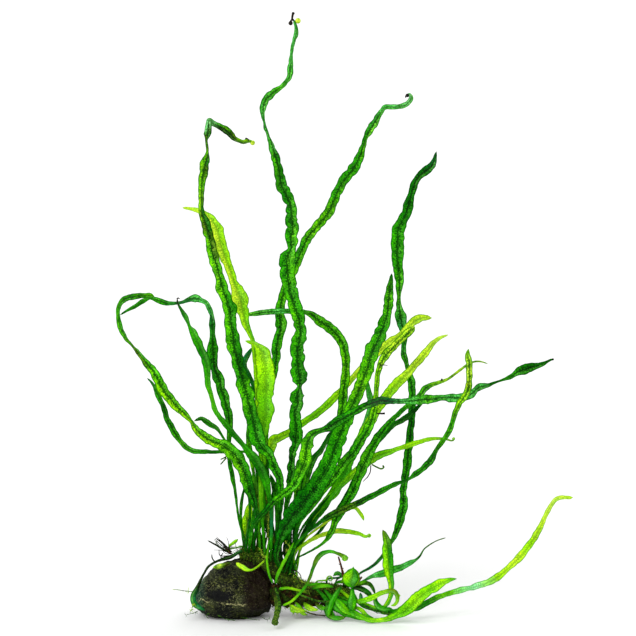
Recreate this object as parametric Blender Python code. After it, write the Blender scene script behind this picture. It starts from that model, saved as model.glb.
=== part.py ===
"""A narrow-leaf water fern growing on a dark stone.

Every frond is a thin closed blade laid along its own route. A route is a short list of points as the eye
sees them: (across, up, depth, half width, turn). Across, up and depth are millimetres from the middle of the
stone's underside, depth runs away from the eye, and turn is how far the blade is rolled about its own line,
in degrees. Metres, +Z up, the eye looks along +Y.
"""

import math

import bmesh
import bpy
from mathutils import Matrix, Vector, noise

MM = 0.001
GAP = 0.35

SIGHT_TILT = math.radians(8)
EYE_DISTANCE = 1600.0
SIGHT_MIDDLE = (41.5, 148.0)

# The tuft opens towards the eye and away from it as it rises: between these two heights depths grow by FAN.
FAN = 1.0
FAN_LOW = 40.0
FAN_HIGH = 140.0

STONE_WIDTH = 39.0
STONE_DEPTH = 36.0
STONE_TOP = 20.0
STONE_BOTTOM = 10.0
STONE_MIDDLE_HEIGHT = 8.0
STONE_LEFT_SLOPE = 0.15
STONE_ROUGHNESS = 1.9
STONE_SEED = Vector((3.7, 1.2, 8.4))

STONE_SHARP = math.radians(40)

# A blade is RIB thick at its midrib, or STALK_ROUNDNESS times its half width where that is less.
RIB = 0.9
STALK_ROUNDNESS = 1.7
STALK_HALF = 0.6
STALK_RISE = 2.0

# Cross sections follow one another after this many millimetres or this many degrees of bend.
LONG_STEP = 9.5
TURN_STEP = 28.5
ROLL_SHARE = 1 / 3
RHIZOME_SIDES = 8
OFFSHOOT_SIDES = 7

LEAF_ROUGHNESS = 0.42
BARK_ROUGHNESS = 0.7
DULL_ROUGHNESS = 0.75
BARK = ("rhizome bark", (0.05, 0.05, 0.015))
STONE = ("dark stone", (0.03, 0.027, 0.02))

# The creeping stem: across, up, depth and radius.
RHIZOME = [
    (2, 30, 1, 1.6), (8, 29.4, 0, 2.7), (14, 27.2, -1, 3.5), (20, 22.8, -1, 4.1), (25.5, 17.4, -1, 4.2),
    (31, 13.4, -1, 3.9), (37, 11.6, 0, 3.8), (44, 11.3, 2, 3.9), (52, 10.6, 2, 3.6), (59, 8.6, 0, 2.6),
]
OFFSHOOT = [
    (19.5, 13, -10.5, 1.2), (20.8, 8.5, -14, 1.4), (21.5, 4, -20, 1.6), (20.9, -0.3, -26, 1.3),
    (20.2, -3, -30.5, 1.5), (19.9, -4.2, -33, 1.6), (19.8, -4.5, -34.5, 0.9),
]

MATURE = ("fern green", (0.075, 0.24, 0.02))
YOUNG = ("young lime", (0.33, 0.62, 0.04))
TEAL = ("teal back", (0.03, 0.25, 0.09))
DARK = ("old dark", (0.02, 0.05, 0.015))
BROWN = ("root brown", (0.05, 0.03, 0.015))

# name: (look, (place along the rhizome, angle round it), route from the foot to the tip)
FRONDS = {
    "frond_tall_middle": (MATURE, (0.37, 12), [
        (25.5, 52, -6, 1.1, 0), (28, 64.5, -8, 2, 0), (27.7, 67.5, -8.5, 2.2, 0),
        (28.4, 70.5, -8.8, 1.6, 0), (27.9, 73.5, -9, 2.2, 0), (28.6, 76.5, -9.2, 1.5, 0),
        (28.6, 80.5, -9.5, 2.1, 0), (30, 84, -9.8, 1.8, 0), (30.5, 87, -10, 3.1, 0),
        (30.4, 93, -10.5, 3.1, 0), (30, 98, -11, 2.9, 0), (29.9, 101.5, -11, 2.7, 0),
        (31.2, 105, -11, 3, 0), (30.8, 109, -11, 3.8, 0), (31.7, 112, -11, 2.8, 20),
        (32.2, 114.5, -11, 2.2, 0), (32.4, 117, -11, 3.6, 0), (31.6, 122.5, -11, 3, 0),
        (31.2, 130, -10, 3.8, 0), (31.8, 135, -10, 3.7, 0), (32.8, 141, -9.5, 2.7, 0),
        (31.7, 147, -9, 3, 0), (30.4, 152, -8.5, 2.9, 0), (28.6, 157.5, -8, 3.1, 0),
        (26.8, 163, -7, 3.4, 0), (26.2, 169, -6.5, 3.6, 0), (26, 176, -5.5, 4.2, 0),
        (26.8, 180.3, -5, 3.7, 0), (28.3, 183, -4.5, 2.7, 0), (28.1, 188, -4, 3.3, 0),
        (28.8, 193, -3.5, 2.6, 0), (28.3, 197.5, -3, 3, 0), (28.4, 201, -2, 2.6, 0),
        (27.9, 205, -1.3, 2.3, 0), (25.5, 210, -0.5, 3, 0), (23.4, 215, 0.5, 2.7, 0),
        (21.2, 225, 2, 2.1, 0), (19.8, 230, 3, 2, 0), (18.2, 235.5, 4, 1.6, 45),
        (16.4, 240, 4.5, 1.6, 60), (14.9, 245, 5, 1.6, 65), (13.9, 250, 5.5, 1.5, 50),
        (13.9, 253.5, 6, 1.8, 30), (15.3, 257.3, 7, 1.95, 0), (18.5, 260.3, 8, 1.8, 0),
        (21.5, 262.5, 8.5, 1.35, 0), (24.3, 264.6, 9, 1.1, 0), (26.9, 268, 9.7, 1.3, 0),
        (27.6, 272, 10.4, 1.5, 0), (28, 277, 11.4, 1.1, 0), (28.3, 281, 12, 0.85, 0),
        (29.3, 286, 13.4, 0.9, 0), (30.5, 290, 14.2, 1.1, 0), (30.4, 293.5, 14.8, 0.9, 0),
        (29.8, 296.5, 15, 0.6, 0), (29.2, 300.3, 15, 0.35, 0),
    ]),
    "frond_high_hook": (MATURE, (0.34, -42), [
        (18.5, 45, 6, 0.7, 0), (16, 70, 10, 1.2, 0), (14.8, 92, 13, 1.9, 0), (16.5, 109.5, 15, 2.3, 0),
        (20.4, 126, 16, 2.1, 0), (20.8, 134.5, 16, 2.6, 0), (22.3, 140, 16, 2.4, 0),
        (23, 144, 16, 2.9, 0), (22.4, 150, 16, 2.4, 0), (23.2, 156, 16, 2.2, 0),
        (25.2, 162.5, 16, 2.4, 0), (28.3, 170.5, 17, 2.6, 0), (32.6, 180, 18, 2.4, 0),
        (36.6, 188.6, 20, 2.2, 0), (42, 194.8, 22, 2.4, 0), (46.8, 201, 24, 2.4, 0),
        (52.7, 214, 27.5, 2.6, 0), (57.3, 220, 29, 2.6, 0), (60.6, 225.2, 30, 2.7, 0),
        (62.5, 229.2, 30.5, 2.1, 0), (64.2, 234, 31, 1.4, 0), (65.6, 238, 31.5, 1.5, 40),
        (67.6, 242.2, 32, 2.1, 0), (70.3, 246.5, 33, 1.9, 0), (72.4, 250, 33.5, 1.4, 0),
        (74.7, 253.2, 34, 1.4, 0), (78.5, 253.7, 34, 1.35, 0), (83, 253.9, 33.5, 1.3, 0),
        (86.2, 255.3, 33, 1.4, 0), (88, 257.8, 32.3, 1.15, 0), (87.2, 259.7, 31.7, 0.8, 0),
        (85.7, 259.6, 31.2, 0.5, 0),
    ]),
    "frond_folded_tip": (MATURE, (0.33, 42), [
        (22.5, 47, -9, 0.8, 0), (23, 58, -13, 1.5, 0), (22.3, 67, -16, 1.9, 0), (19.7, 73, -17, 2.2, 0),
        (17.2, 79.5, -18, 2.3, 0), (13.5, 83.5, -18, 3, 0), (10.6, 88.5, -18, 3.9, 0),
        (9.8, 94, -18, 3.3, 0), (8.3, 100, -18, 3.4, 0), (7, 105, -18, 3.4, 0), (6.2, 109, -18, 3.6, 0),
        (4.9, 113, -18, 3.5, 0), (3.3, 118.5, -18, 2.9, 0), (1.8, 124, -18, 2.9, 0),
        (0.3, 130.5, -18, 3.4, 0), (-0.9, 137, -18, 3.5, 0), (-1.9, 143.5, -18, 3.1, 0),
        (-2.5, 148.5, -18, 3, 0), (-3.2, 152.5, -17.6, 3.3, 0), (-4.3, 156.5, -17, 2.6, 0),
        (-5.6, 160.5, -16.5, 3.2, 0), (-6.5, 164, -16, 2.9, 0), (-7.7, 169, -15.2, 2.3, 0),
        (-9.3, 175, -14, 2.5, 0), (-11, 180, -12.7, 2.7, 0), (-12, 185, -11.8, 2.5, 0),
        (-13.6, 190.5, -10.8, 2.4, 0), (-14.7, 195, -10, 2.3, 0), (-16.5, 200, -8.5, 1.6, 0),
        (-17, 205.5, -7, 1.35, 0), (-16.9, 212, -5.3, 1.6, 0), (-16.2, 219, -4, 2, 0),
        (-15, 225, -2.6, 2.3, 0), (-13.9, 229, -1.6, 1.8, 25), (-13.5, 232.5, -0.8, 1.6, 60),
        (-14.2, 237.5, 0.5, 1.5, 55), (-13.7, 240.5, 1.1, 1.7, 0), (-13.4, 244, 2, 1.5, 0),
        (-12.9, 247, 3, 1.2, 0), (-10.6, 245.2, 5, 1.1, 0), (-7.8, 243.8, 6, 1.3, 0),
        (-4.8, 242.4, 7, 1.4, 0), (-2.2, 240, 7.7, 1.35, 0), (0.3, 237.5, 9, 1.1, 0),
        (3.5, 236.1, 10, 1, 0), (6.8, 236.4, 11, 0.9, 0), (9.3, 236, 11.5, 0.45, 0),
    ]),
    "frond_lime_narrow": (YOUNG, (0.24, 4), [
        (15.5, 47, -2.5, 0.65, 0), (14, 66, -3.5, 0.8, 0), (12, 104, -5, 1.6, 0), (10, 128, -6, 1.2, 0),
        (8.6, 137, -6, 1.1, 0), (7.2, 140.5, -6, 1.3, 0), (5.4, 145, -6, 1.9, 0),
        (4.1, 150.5, -6.3, 2.8, 0), (2.8, 155.5, -6.7, 3.9, 0), (2, 159.7, -7, 3.7, 0),
        (-0.2, 165, -6.6, 2.3, 0), (-2, 170.5, -6, 2, 0), (-4.1, 176, -5.5, 2.4, 0),
        (-6, 181.5, -5, 2.8, 0), (-7.6, 187, -4, 3.1, 0), (-9.2, 192.3, -2.8, 2.9, 0),
        (-11.6, 196.8, -1.3, 2.3, 0), (-15, 199.9, 0, 1.6, 0), (-20, 202.2, 1.2, 1.1, 0),
        (-26.3, 203.2, 2, 0.5, 0),
    ]),
    "frond_dark_short": (DARK, (0.24, -28), [
        (14.5, 60, 2.5, 0.6, 0), (12.5, 85, 3.5, 1.2, 0), (11.5, 106, 3, 1.6, 10),
        (8.5, 116, 1.5, 1.2, 20), (5, 124.5, 0, 1.2, 30), (6, 129, 0, 1.4, 0), (9, 133.5, 0, 0.4, 0),
    ]),
    "frond_lime_broad": (YOUNG, (0.21, 38), [
        (13.8, 45, -7, 0.8, 0), (13, 62, -9.5, 1.2, 0), (13.7, 78, -11, 1.8, 0), (13.7, 91, -12, 2.9, 0),
        (15.3, 103, -14, 4.6, 0), (15.3, 109, -14, 4.2, 0), (15.4, 116, -14, 4.2, 0),
        (15.3, 121, -13.5, 4.6, 0), (14.6, 127, -12.8, 4.1, 0), (13.4, 131.5, -11.5, 3.3, 0),
        (10, 134.9, -10.3, 1.6, 0), (5, 136.6, -9, 0.4, 0),
    ]),
    "frond_arch": (MATURE, (0.41, -8), [
        (30.8, 48, 1.5, 1, 0), (38.5, 62, 4, 1.3, 0), (45, 74.5, 6, 1.7, 0), (49.5, 86, 7, 1.9, 0),
        (52.7, 98, 8, 2.1, 15), (54.5, 113, 8, 2.3, 0), (55.4, 123, 8, 2.2, 0), (55.2, 129.5, 8, 2.3, 0),
        (54.2, 134.5, 8, 2.4, 0), (51.8, 138.8, 7.3, 2.4, 0), (48.5, 142.3, 6.6, 2.4, 0),
        (44.8, 144.8, 6, 2.6, 0), (41.3, 147.2, 5.2, 2.3, 0), (38.3, 149.6, 4.5, 1.6, 0),
        (34.5, 151, 4, 1.3, 0), (28, 151.4, 3.5, 1.4, 0), (20, 151.3, 3.5, 1.45, 0),
        (14, 150.9, 3, 1.4, 0), (9, 150.1, 2.5, 1.2, 0), (4.5, 149.6, 2, 0.5, 0),
    ]),
    "frond_broad_front": (MATURE, (0.37, 68), [
        (20.7, 27.5, -11, 1.4, 0), (21.6, 34, -13, 1.9, 0), (24, 41.5, -17, 3.1, 0),
        (28.5, 48.5, -21, 4.3, 0), (34, 55.5, -23, 4.8, 0), (40.5, 64, -24, 4.6, 0),
        (46.5, 74.5, -24, 4.2, 0), (51.5, 87, -23, 3.9, 0), (57.5, 102, -22, 3.1, 0),
        (62.5, 113, -24, 3.1, 12), (66.8, 125.5, -27, 3.5, 0), (68.3, 130.5, -28, 3.4, 0),
        (71.4, 137, -30, 3.1, 0), (73.2, 141.5, -31, 2.9, 0), (75, 146, -32, 2.6, 0),
        (76.2, 150.5, -33.3, 2.2, 0), (76.7, 154.5, -34.5, 2.3, 0), (77, 159, -36, 2.1, 0),
        (77.5, 163, -37, 1.7, 0), (78, 166.8, -37.6, 1.1, 0), (78.4, 170.3, -38, 0.5, 0),
    ]),
    "frond_tall_back": (MATURE, (0.965, -48), [
        (62, 19.8, 9, 0.5, 0), (67.6, 23.2, 12.5, 0.7, 0), (72, 27, 15, 0.9, 0), (77.2, 34.5, 20, 1, 0),
        (79.5, 38.7, 21.5, 1.3, 0), (80.9, 42, 23, 1.7, 0), (82, 45.2, 24, 1.9, 0),
        (83.2, 49.5, 25, 2.1, 0), (84.5, 54.5, 25.5, 2.2, 0), (84.2, 60, 26, 2, 20),
        (84.8, 66, 26.4, 1.8, 0), (86.1, 76, 27, 2.1, 0), (86.7, 81, 27.4, 2.2, 0),
        (87.8, 91, 28, 1.9, 0), (88.3, 99, 28.5, 1.8, 0), (88.6, 110, 29, 1.9, 0),
        (88.2, 115.5, 30, 2.1, 0), (87, 121, 30.5, 1.4, 0), (85.6, 125.5, 31, 1.5, 40),
        (84.5, 129.7, 31, 1.7, 0), (84.3, 133.5, 31, 1.3, 0), (84.9, 137.7, 31, 1.5, 0),
        (84.4, 142.3, 31.5, 2, 0), (83.2, 146, 32, 2.7, 0), (82.3, 149.3, 32, 3, 0),
        (82.2, 152.7, 32, 1.7, 0), (82.2, 156.5, 32.5, 1.6, 45), (82.3, 160.5, 32.5, 1.7, 40),
        (82.4, 166, 33, 2.3, 0), (81.8, 171, 33, 2.5, 0), (81.2, 177, 33.5, 2.9, 0),
        (81.1, 181.5, 34, 3.25, 0), (80.9, 186, 34, 3.6, 0), (81.3, 190.3, 34, 3.4, 0),
        (82.8, 194.5, 34, 3, 0), (85.1, 199.5, 34, 2.7, 0), (86.5, 204, 34, 2.5, 0), (88, 209, 34, 2, 0),
        (89.4, 213.5, 34, 2.1, 0), (90.7, 217, 33.5, 1.8, 0), (92.8, 219.8, 33, 1.9, 0),
        (95.7, 221.9, 32.5, 2.2, 0), (98.3, 224.4, 32, 1.9, 0), (99.8, 227.7, 31.5, 1.2, 0),
        (100.7, 231.4, 31, 0.3, 0),
    ]),
    "frond_dotted": (MATURE, (0.4, 28), [
        (31.5, 43.5, -5, 0.9, 0), (38.5, 54, -8, 1.3, 0), (48, 66.5, -9, 2, 0), (55, 76, -8, 2.6, 0),
        (60.5, 83, -6, 2.5, 0), (67.5, 95, -1, 2, 0), (70.3, 107, 3.4, 1.4, 0), (70.9, 116.5, 5, 1.3, 0),
        (72, 122.8, 6.5, 1.5, 0), (74.3, 128, 8, 2, 0), (78, 132.5, 8.5, 2, 0), (82.5, 136.8, 9, 1.9, 0),
        (86.8, 140.8, 9.7, 2.1, 0), (89, 142.7, 10, 1.4, 0), (90, 143.8, 10, 0.5, 0),
    ]),
    "frond_teal_back": (TEAL, (0.42, -62), [
        (33, 42, 6.5, 0.6, 0), (47, 60, 9, 0.8, 0), (57, 78, 11, 1, 0), (64, 93, 15, 1.2, 0),
        (67.5, 104, 16, 1.4, 0), (66.8, 112, 14, 1.4, 0), (65.5, 118, 12, 0.4, 0),
    ]),
    "frond_lime_right": (YOUNG, (0.405, -45), [
        (34.5, 40, 3, 0.8, 0), (43, 53.5, 4, 1.6, 0), (50.5, 62, 4, 2.4, 0), (55.5, 72, 4, 2.7, 0),
        (61, 84, 7, 2.4, 0), (68.5, 97.5, 14, 2.4, 0), (77.5, 111.4, 15.3, 2.5, 0),
        (81, 115.4, 16.3, 2.4, 0), (84, 118.5, 17, 2.4, 0), (87.2, 121.2, 17.8, 2.1, 0),
        (92, 126.8, 19, 2.2, 0), (94.9, 130.3, 19.5, 2, 0), (97.4, 133.6, 20, 1.7, 0),
        (100.2, 136.6, 20.3, 1.2, 0), (103, 138.3, 20.7, 0.9, 0), (106.7, 139.7, 21, 0.35, 0),
    ]),
    "frond_bent_right": (MATURE, (0.1, 62), [
        (7.6, 37, -12, 0.8, 0), (8.3, 42, -14.5, 1, 0), (10.7, 46.7, -17.5, 1.2, 0),
        (15.2, 51.7, -20, 1.5, 0), (19.6, 56.3, -22, 1.7, 0), (24.8, 60.6, -24, 1.8, 0),
        (28.5, 63.2, -25, 1.9, 0), (30.9, 66.5, -26, 2.4, 0), (33, 71.5, -27, 2.7, 0),
        (34.3, 76, -27.5, 3, 0), (35.2, 81, -28, 3.1, 0), (36.2, 85.5, -28.6, 3, 0),
        (38.2, 89.3, -29.6, 2, 0), (42, 91.3, -30.6, 1.5, 0), (46, 92.8, -31.4, 1.9, 0),
        (50, 95.6, -32, 2.2, 0), (57, 99.5, -32, 2, 0), (65, 104, -30, 1.8, 0), (73, 106.7, -20, 1.9, 0),
        (83.5, 106.2, -10, 1.3, 0), (91.5, 106.8, -6, 2.4, 0), (95.5, 107.3, -4, 2.3, 0),
        (100, 107.6, -2, 1.9, 0), (104, 108.2, -1, 1.5, 0), (107.7, 108, 0, 2.1, 0),
        (112, 107.8, 0.6, 2.2, 0), (115.5, 108.6, 1, 2.1, 0), (118.2, 110, 2, 1.9, 0),
        (120.3, 112, 3, 1.5, 0), (122.2, 113.6, 3.6, 1.9, 0), (124.2, 114, 4, 1.8, 0),
        (126.7, 114.4, 4.7, 1.1, 0), (129.4, 115.5, 5.3, 0.75, 0), (132.4, 116.6, 6, 0.6, 0),
        (135.4, 117.7, 6.5, 0.9, 0), (138.1, 118.8, 7, 1.5, 0), (139.8, 119.8, 7.4, 1.5, 0),
        (142, 121.4, 8, 2.1, 0), (145.2, 122.3, 9, 2.5, 0), (148, 123.4, 9.8, 2.2, 0),
        (150.2, 124, 10.3, 1.8, 0), (152.9, 124.7, 11, 1.3, 0), (155.6, 125.9, 11.5, 0.8, 0),
        (158.2, 127.2, 12, 0.6, 0), (159.4, 127.5, 12, 0.4, 0),
    ]),
    "frond_creased": (DARK, (0.42, 50), [
        (33.5, 56, -13, 0.9, 0), (36, 68, -17, 1.5, 0), (39, 77, -19, 1.6, 0),
        (43.5, 82.7, -18, 1.3, 20), (46.5, 88, -15, 1.1, 10), (52.5, 97, -10, 0.4, 0),
    ]),
    "frond_lime_long": (YOUNG, (0.17, -42), [
        (14.5, 47, 6, 0.65, 0), (15.5, 70, 6.5, 0.9, 0), (18.6, 86, 6.5, 2.7, 0), (22.5, 88.5, 7, 2, 0),
        (27.3, 90.8, 8, 1.9, 0), (33.5, 95.2, 10, 1.8, 0), (40, 99.7, 12, 1.8, 0),
        (45.5, 104.2, 13.5, 1.9, 0), (50, 108.5, 14.5, 1.9, 0), (54.5, 113.3, 15.3, 1.7, 0),
        (63, 122.5, 17, 1.6, 0), (72.5, 131.8, 19, 1.9, 0), (77, 136, 20, 1.8, 0),
        (81.5, 138.8, 21, 1.6, 0), (84.6, 141.2, 22, 1.7, 0), (87.3, 144.3, 22.5, 2, 0),
        (90, 146.6, 23, 2.1, 0), (92.7, 147.9, 23.3, 2.2, 0), (95.7, 148.1, 23.7, 1.5, 0),
        (98.5, 148, 24, 0.35, 0),
    ]),
    "frond_thread_tip": (MATURE, (0.45, 42), [
        (31, 27.5, -6, 0.45, 0), (35.5, 30.3, -8, 0.5, 0), (40, 32.7, -9, 0.6, 0),
        (44, 35.4, -10, 0.8, 0), (46.8, 38.8, -11, 1.3, 0), (49, 43, -11, 1.5, 0),
        (50.2, 46.5, -11, 2, 0), (53, 51.5, -11, 2.1, 0), (59, 62, -10, 2.3, 0), (65, 76, -6, 2.9, 0),
        (71, 87.5, 0, 2.1, 0), (79, 97.5, 4, 1.4, 0), (89, 106.3, 9, 1.3, 0), (93, 109.7, 9, 1.6, 0),
        (95.7, 113, 9, 1.7, 0), (98.7, 114.7, 8.5, 1.2, 0), (102, 115.8, 8, 1, 0),
        (105.5, 117, 7.3, 0.8, 0), (109, 119.3, 6.8, 0.7, 0), (113, 122.3, 6.3, 0.7, 0),
        (116, 124.6, 6, 0.6, 0), (119.5, 126.2, 5.3, 0.5, 0), (123, 126.2, 5, 0.4, 0),
        (126.5, 125, 5, 0.3, 0),
    ]),
    "frond_thin_dark": (DARK, (0.435, 12), [
        (33, 33, 0.5, 0.5, 0), (38, 37.3, 0.5, 0.6, 0), (41.8, 40.6, 0, 0.7, 0), (44.3, 44, -1, 0.9, 0),
        (48, 49, -2, 0.8, 0), (52, 53.7, -2, 0.7, 0), (61, 70, -1.5, 0.8, 0), (68.5, 82, 3, 1, 0),
        (79, 94.3, 10, 1.3, 0), (86, 98.5, 12, 1.5, 0), (95, 107, 14, 0.4, 0),
    ]),
    "frond_upturned": (YOUNG, (0.385, 62), [
        (31, 35.5, -12, 0.7, 0), (42, 45.5, -16, 1, 0), (48.5, 49.5, -17, 1.8, 0),
        (58.5, 54, -17, 1.6, 0), (63.4, 56.3, -16.5, 1.6, 0), (67.9, 58.7, -15.7, 1.5, 0),
        (71.5, 60.4, -15, 1.5, 0), (76, 63, -14, 1.4, 0), (80.4, 65.1, -13, 1.1, 0),
        (84.9, 66.5, -12, 0.8, 0), (87.4, 67.8, -11.7, 0.8, 0), (90.3, 70, -11, 1.5, 0),
        (94, 72.8, -10.4, 1.4, 0), (98, 77, -10, 1.7, 0), (100, 81, -10, 1.2, 0),
        (103.8, 86.4, -10, 1.2, 0), (107.3, 91.8, -10, 1.4, 0), (108.8, 96, -10, 1.3, 0),
        (110, 100.5, -10, 1.4, 0), (112, 105, -10, 1.5, 0), (114.8, 108.8, -10, 1.6, 0),
        (116.3, 112, -10.3, 1.7, 0), (117.1, 116, -11, 1.6, 0), (117.2, 120.7, -11.9, 1.6, 0),
        (117, 125.5, -12.8, 1.7, 0), (116.3, 129.7, -13.5, 1.2, 0), (116.8, 132.7, -14, 0.35, 0),
    ]),
    "frond_lime_curl": (YOUNG, (0.44, -20), [
        (36, 41.5, 1.5, 0.8, 0), (43.5, 51.5, -2, 1.2, 0), (51, 62, -2, 1.3, 0), (60, 71, 2, 1.7, 0),
        (67, 76.3, 2.5, 2.1, 0), (71, 78.9, 2.8, 2.1, 0), (76.5, 80.8, 3, 1.7, 0),
        (81.3, 82.6, 2.6, 1.2, 0), (87.5, 84.5, 2, 1.4, 0), (95.5, 87.1, 1.2, 1.1, 0),
        (100, 87.8, 0.7, 0.8, 0), (105, 87.5, 0, 0.6, 0), (109, 86.7, 0, 0.45, 0),
        (109.6, 88.6, 0, 0.3, 0),
    ]),
    "frond_young_tip": (YOUNG, (0.465, 6), [
        (34, 36, -2, 0.5, 0), (43, 44, -3.5, 0.6, 0), (54, 51, -6.5, 0.7, 0), (59.8, 53, -7.5, 0.8, 0),
        (62.2, 51, -8, 1, 0), (63.6, 48.8, -8.3, 0.9, 0), (64.5, 46.6, -8.5, 0.4, 0),
    ]),
    "frond_lime_low": (YOUNG, (0.485, 30), [
        (29.5, 30, -3, 0.6, 0), (34, 34.3, -4.5, 0.8, 0), (39, 37.6, -5, 1, 0), (45, 40, -5, 1.1, 0),
        (51.6, 41.6, -5, 1.4, 0), (57, 41.2, -5, 1.2, 0), (62, 40.2, -5, 1, 0), (65.2, 38.8, -5, 0.8, 0),
        (67.7, 39.6, -5, 0.4, 0),
    ]),
    "frond_low_broad": (YOUNG, (0.78, 74), [
        (50.5, 5.2, -10, 1.6, 0), (54.5, 2.5, -15, 2.2, 0), (60, 0.2, -18.5, 1.9, 0),
        (66.5, -2.6, -20, 1.3, 0), (73.5, -3, -20, 1.2, 0), (80, -1, -21, 1.8, 0), (85, 2, -23, 2.7, 0),
        (90.4, 6.9, -25, 3.2, 0), (94.2, 10.2, -25.6, 2.9, 0), (97.8, 12.6, -26, 2.7, 0),
        (101.1, 14.6, -26, 2.4, 0), (104.5, 16.2, -26, 1.6, 0), (108, 17.2, -26, 0.9, 0),
        (111, 17.6, -26, 0.35, 0),
    ]),
    "frond_low_long": (YOUNG, (0.985, 34), [
        (62.5, 5.2, -8, 0.9, 0), (70, 2.6, -11, 1.3, 0), (80, 1, -13, 1.5, 0), (90, 3, -12, 1.8, 0),
        (98.4, 6.9, -11, 1.5, 0), (101.1, 8.2, -10.5, 1.4, 0), (105.2, 9.8, -9.3, 1.2, 0),
        (109.2, 10.9, -8.5, 1.3, 0), (113.3, 12, -8, 1.5, 0), (117.3, 13, -7.2, 1.3, 0),
        (120, 13.7, -6.5, 1.6, 0), (124.7, 15, -5.3, 1.6, 0), (128.1, 16.5, -4.3, 1.8, 0),
        (130.8, 18.2, -3.3, 1.8, 0), (134.8, 21.4, -1.8, 1.7, 0), (139, 25.1, 0, 1.7, 0),
        (142.9, 29.2, 1, 1.8, 0), (145.9, 32.8, 2, 1.8, 0), (148.5, 36.7, 2.8, 1.7, 0),
        (151, 40.4, 3.6, 1.7, 0), (153.2, 44.5, 4.4, 1.5, 0), (155, 48.6, 5.3, 1.3, 0),
        (157, 52.7, 6.3, 1.1, 0), (159.5, 56.5, 7.6, 1.2, 0), (161.8, 58, 8.4, 1.2, 0),
        (165.1, 58.3, 9.3, 1, 0), (167.6, 58.2, 9.8, 0.9, 0), (169, 58.3, 10, 0.5, 0),
    ]),
    "frond_upright_low": (YOUNG, (0.955, 82), [
        (66, 4.6, -15, 0.8, 0), (73.5, 3.2, -18, 0.9, 0), (77.5, 8, -17.5, 1.2, 0),
        (78.1, 15, -17, 1.5, 0), (77.1, 20, -17, 2.3, 0), (76.5, 25.3, -17, 2.7, 0),
        (76.2, 30, -17, 2.65, 0), (76, 35.5, -17, 2.2, 0), (75.2, 39, -17, 1.5, 0),
        (73.8, 42.2, -17, 0.45, 0),
    ]),
    "frond_loop": (YOUNG, (0.9, 62), [
        (60.5, 6.5, -14, 1.1, 0), (66, 7.2, -18.5, 1.4, 0), (74, 10.8, -21.5, 1.2, 0),
        (79, 11.4, -22, 1.2, 0), (81.3, 8.4, -21.5, 1, 0), (80.2, 5, -21, 0.8, 0),
        (77.8, 4, -21, 0.4, 0),
    ]),
    "frond_teal_low": (TEAL, (0.95, -2), [
        (63.5, 16.3, 2, 0.5, 0), (68, 18.6, 0, 1, 0), (75, 20.6, -2, 2, 0), (80.9, 22.7, -3, 1.9, 0),
        (84.3, 24.1, -3.4, 1.4, 0), (87.7, 25.7, -3.8, 1.3, 0), (90.3, 27, -4, 0.7, 0),
        (92.3, 28.8, -4, 0.5, 0), (94.4, 32.2, -4, 0.4, 0), (97.5, 34.7, -4, 0.35, 0),
        (101, 36.7, -4, 0.3, 0), (105.5, 38.2, -4, 0.3, 0),
    ]),
    "leaf_folded": (MATURE, (0.86, 28), [
        (55.5, 17, -5, 1.5, 0), (57, 21, -8, 2.1, 0), (59, 22.8, -10, 1.9, 0), (60.8, 19.5, -12, 2, 0),
        (60.2, 15.6, -13, 1.5, 0), (59.4, 13.6, -13, 0.5, 0),
    ]),
    "leaf_teal_small": (TEAL, (0.8, -5), [
        (53, 18.7, 1, 0.6, 0), (51.2, 20.3, 0, 1.1, 0), (49, 18.9, -1, 0.35, 0),
    ]),
    "leaf_dark_arch": (DARK, (0.93, 8), [
        (62.3, 14.7, -3, 0.8, 0), (66.5, 15.4, -4, 1.1, 0), (69, 12.7, -5, 0.9, 0),
        (70, 9.8, -6, 0.4, 0),
    ]),
    "leaf_dark_flat": (DARK, (0.92, 22), [
        (63.5, 11.8, -5, 0.9, 0), (67, 9.8, -6.5, 1, 0), (69.5, 7.6, -7.5, 0.4, 0),
    ]),
    "leaf_crumpled": (MATURE, (0.7, 70), [
        (46.5, 5.8, -9, 1.4, 0), (47, 3, -12, 2.6, 0), (48, 0, -14.5, 2.8, 20), (50, -1.6, -17, 1, 0),
    ]),
    "leaf_round": (MATURE, (0.84, 90), [
        (56.8, 6.2, -9, 1.9, 0), (58, 4, -11, 2.6, 0), (58, 1.8, -12.5, 1.7, 0),
        (57.7, 0.8, -13, 0.6, 0),
    ]),
    "leaf_lime_tiny": (YOUNG, (0.03, -35), [
        (-2.3, 32.6, 4.4, 0.35, 0), (-2.9, 33.8, 4.6, 0.5, 0), (-1.2, 35.1, 4.6, 0.8, 0),
        (0.4, 36.3, 4.6, 0.9, 0), (1.6, 37.6, 4.6, 0.4, 0),
    ]),
    "stem_brown": (BROWN, (0.86, -24), [
        (54.2, 19.5, 1, 0.35, 0), (53, 24, 0, 0.35, 0), (51.5, 29, 0, 0.25, 0),
    ]),
    "stalk_old_left": (TEAL, (0.03, 55), [
        (-2.5, 28.3, -4, 0.9, 0), (-8.5, 26.6, -6, 0.7, 0), (-13, 24, -8, 0.6, 0),
        (-15.7, 20, -10, 0.6, 0), (-17.8, 15.5, -11, 0.8, 0), (-20, 11, -12, 1.3, 0),
        (-21, 8, -12, 1.5, 0), (-19.5, 4.6, -13, 1.4, 0), (-15, 1.8, -16, 0.5, 0),
    ]),
    "stalk_mossy": (DARK, (0.3, 22), [
        (16.8, 45, -5, 0.8, 0), (16.6, 56, -6, 0.8, 0), (16.2, 66, -7, 0.4, 0),
    ]),
    "frond_left_broad": (MATURE, (0.13, 38), [
        (11, 48, -13, 1, 0), (9.5, 55.5, -16, 1.6, 0), (7.2, 62.5, -18, 2.7, 0), (4, 72.5, -21, 3.1, 0),
        (0, 79.3, -22, 3.5, 0), (-6, 84.3, -23, 2.9, 0), (-11, 86.2, -23.5, 2.5, 0),
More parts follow.
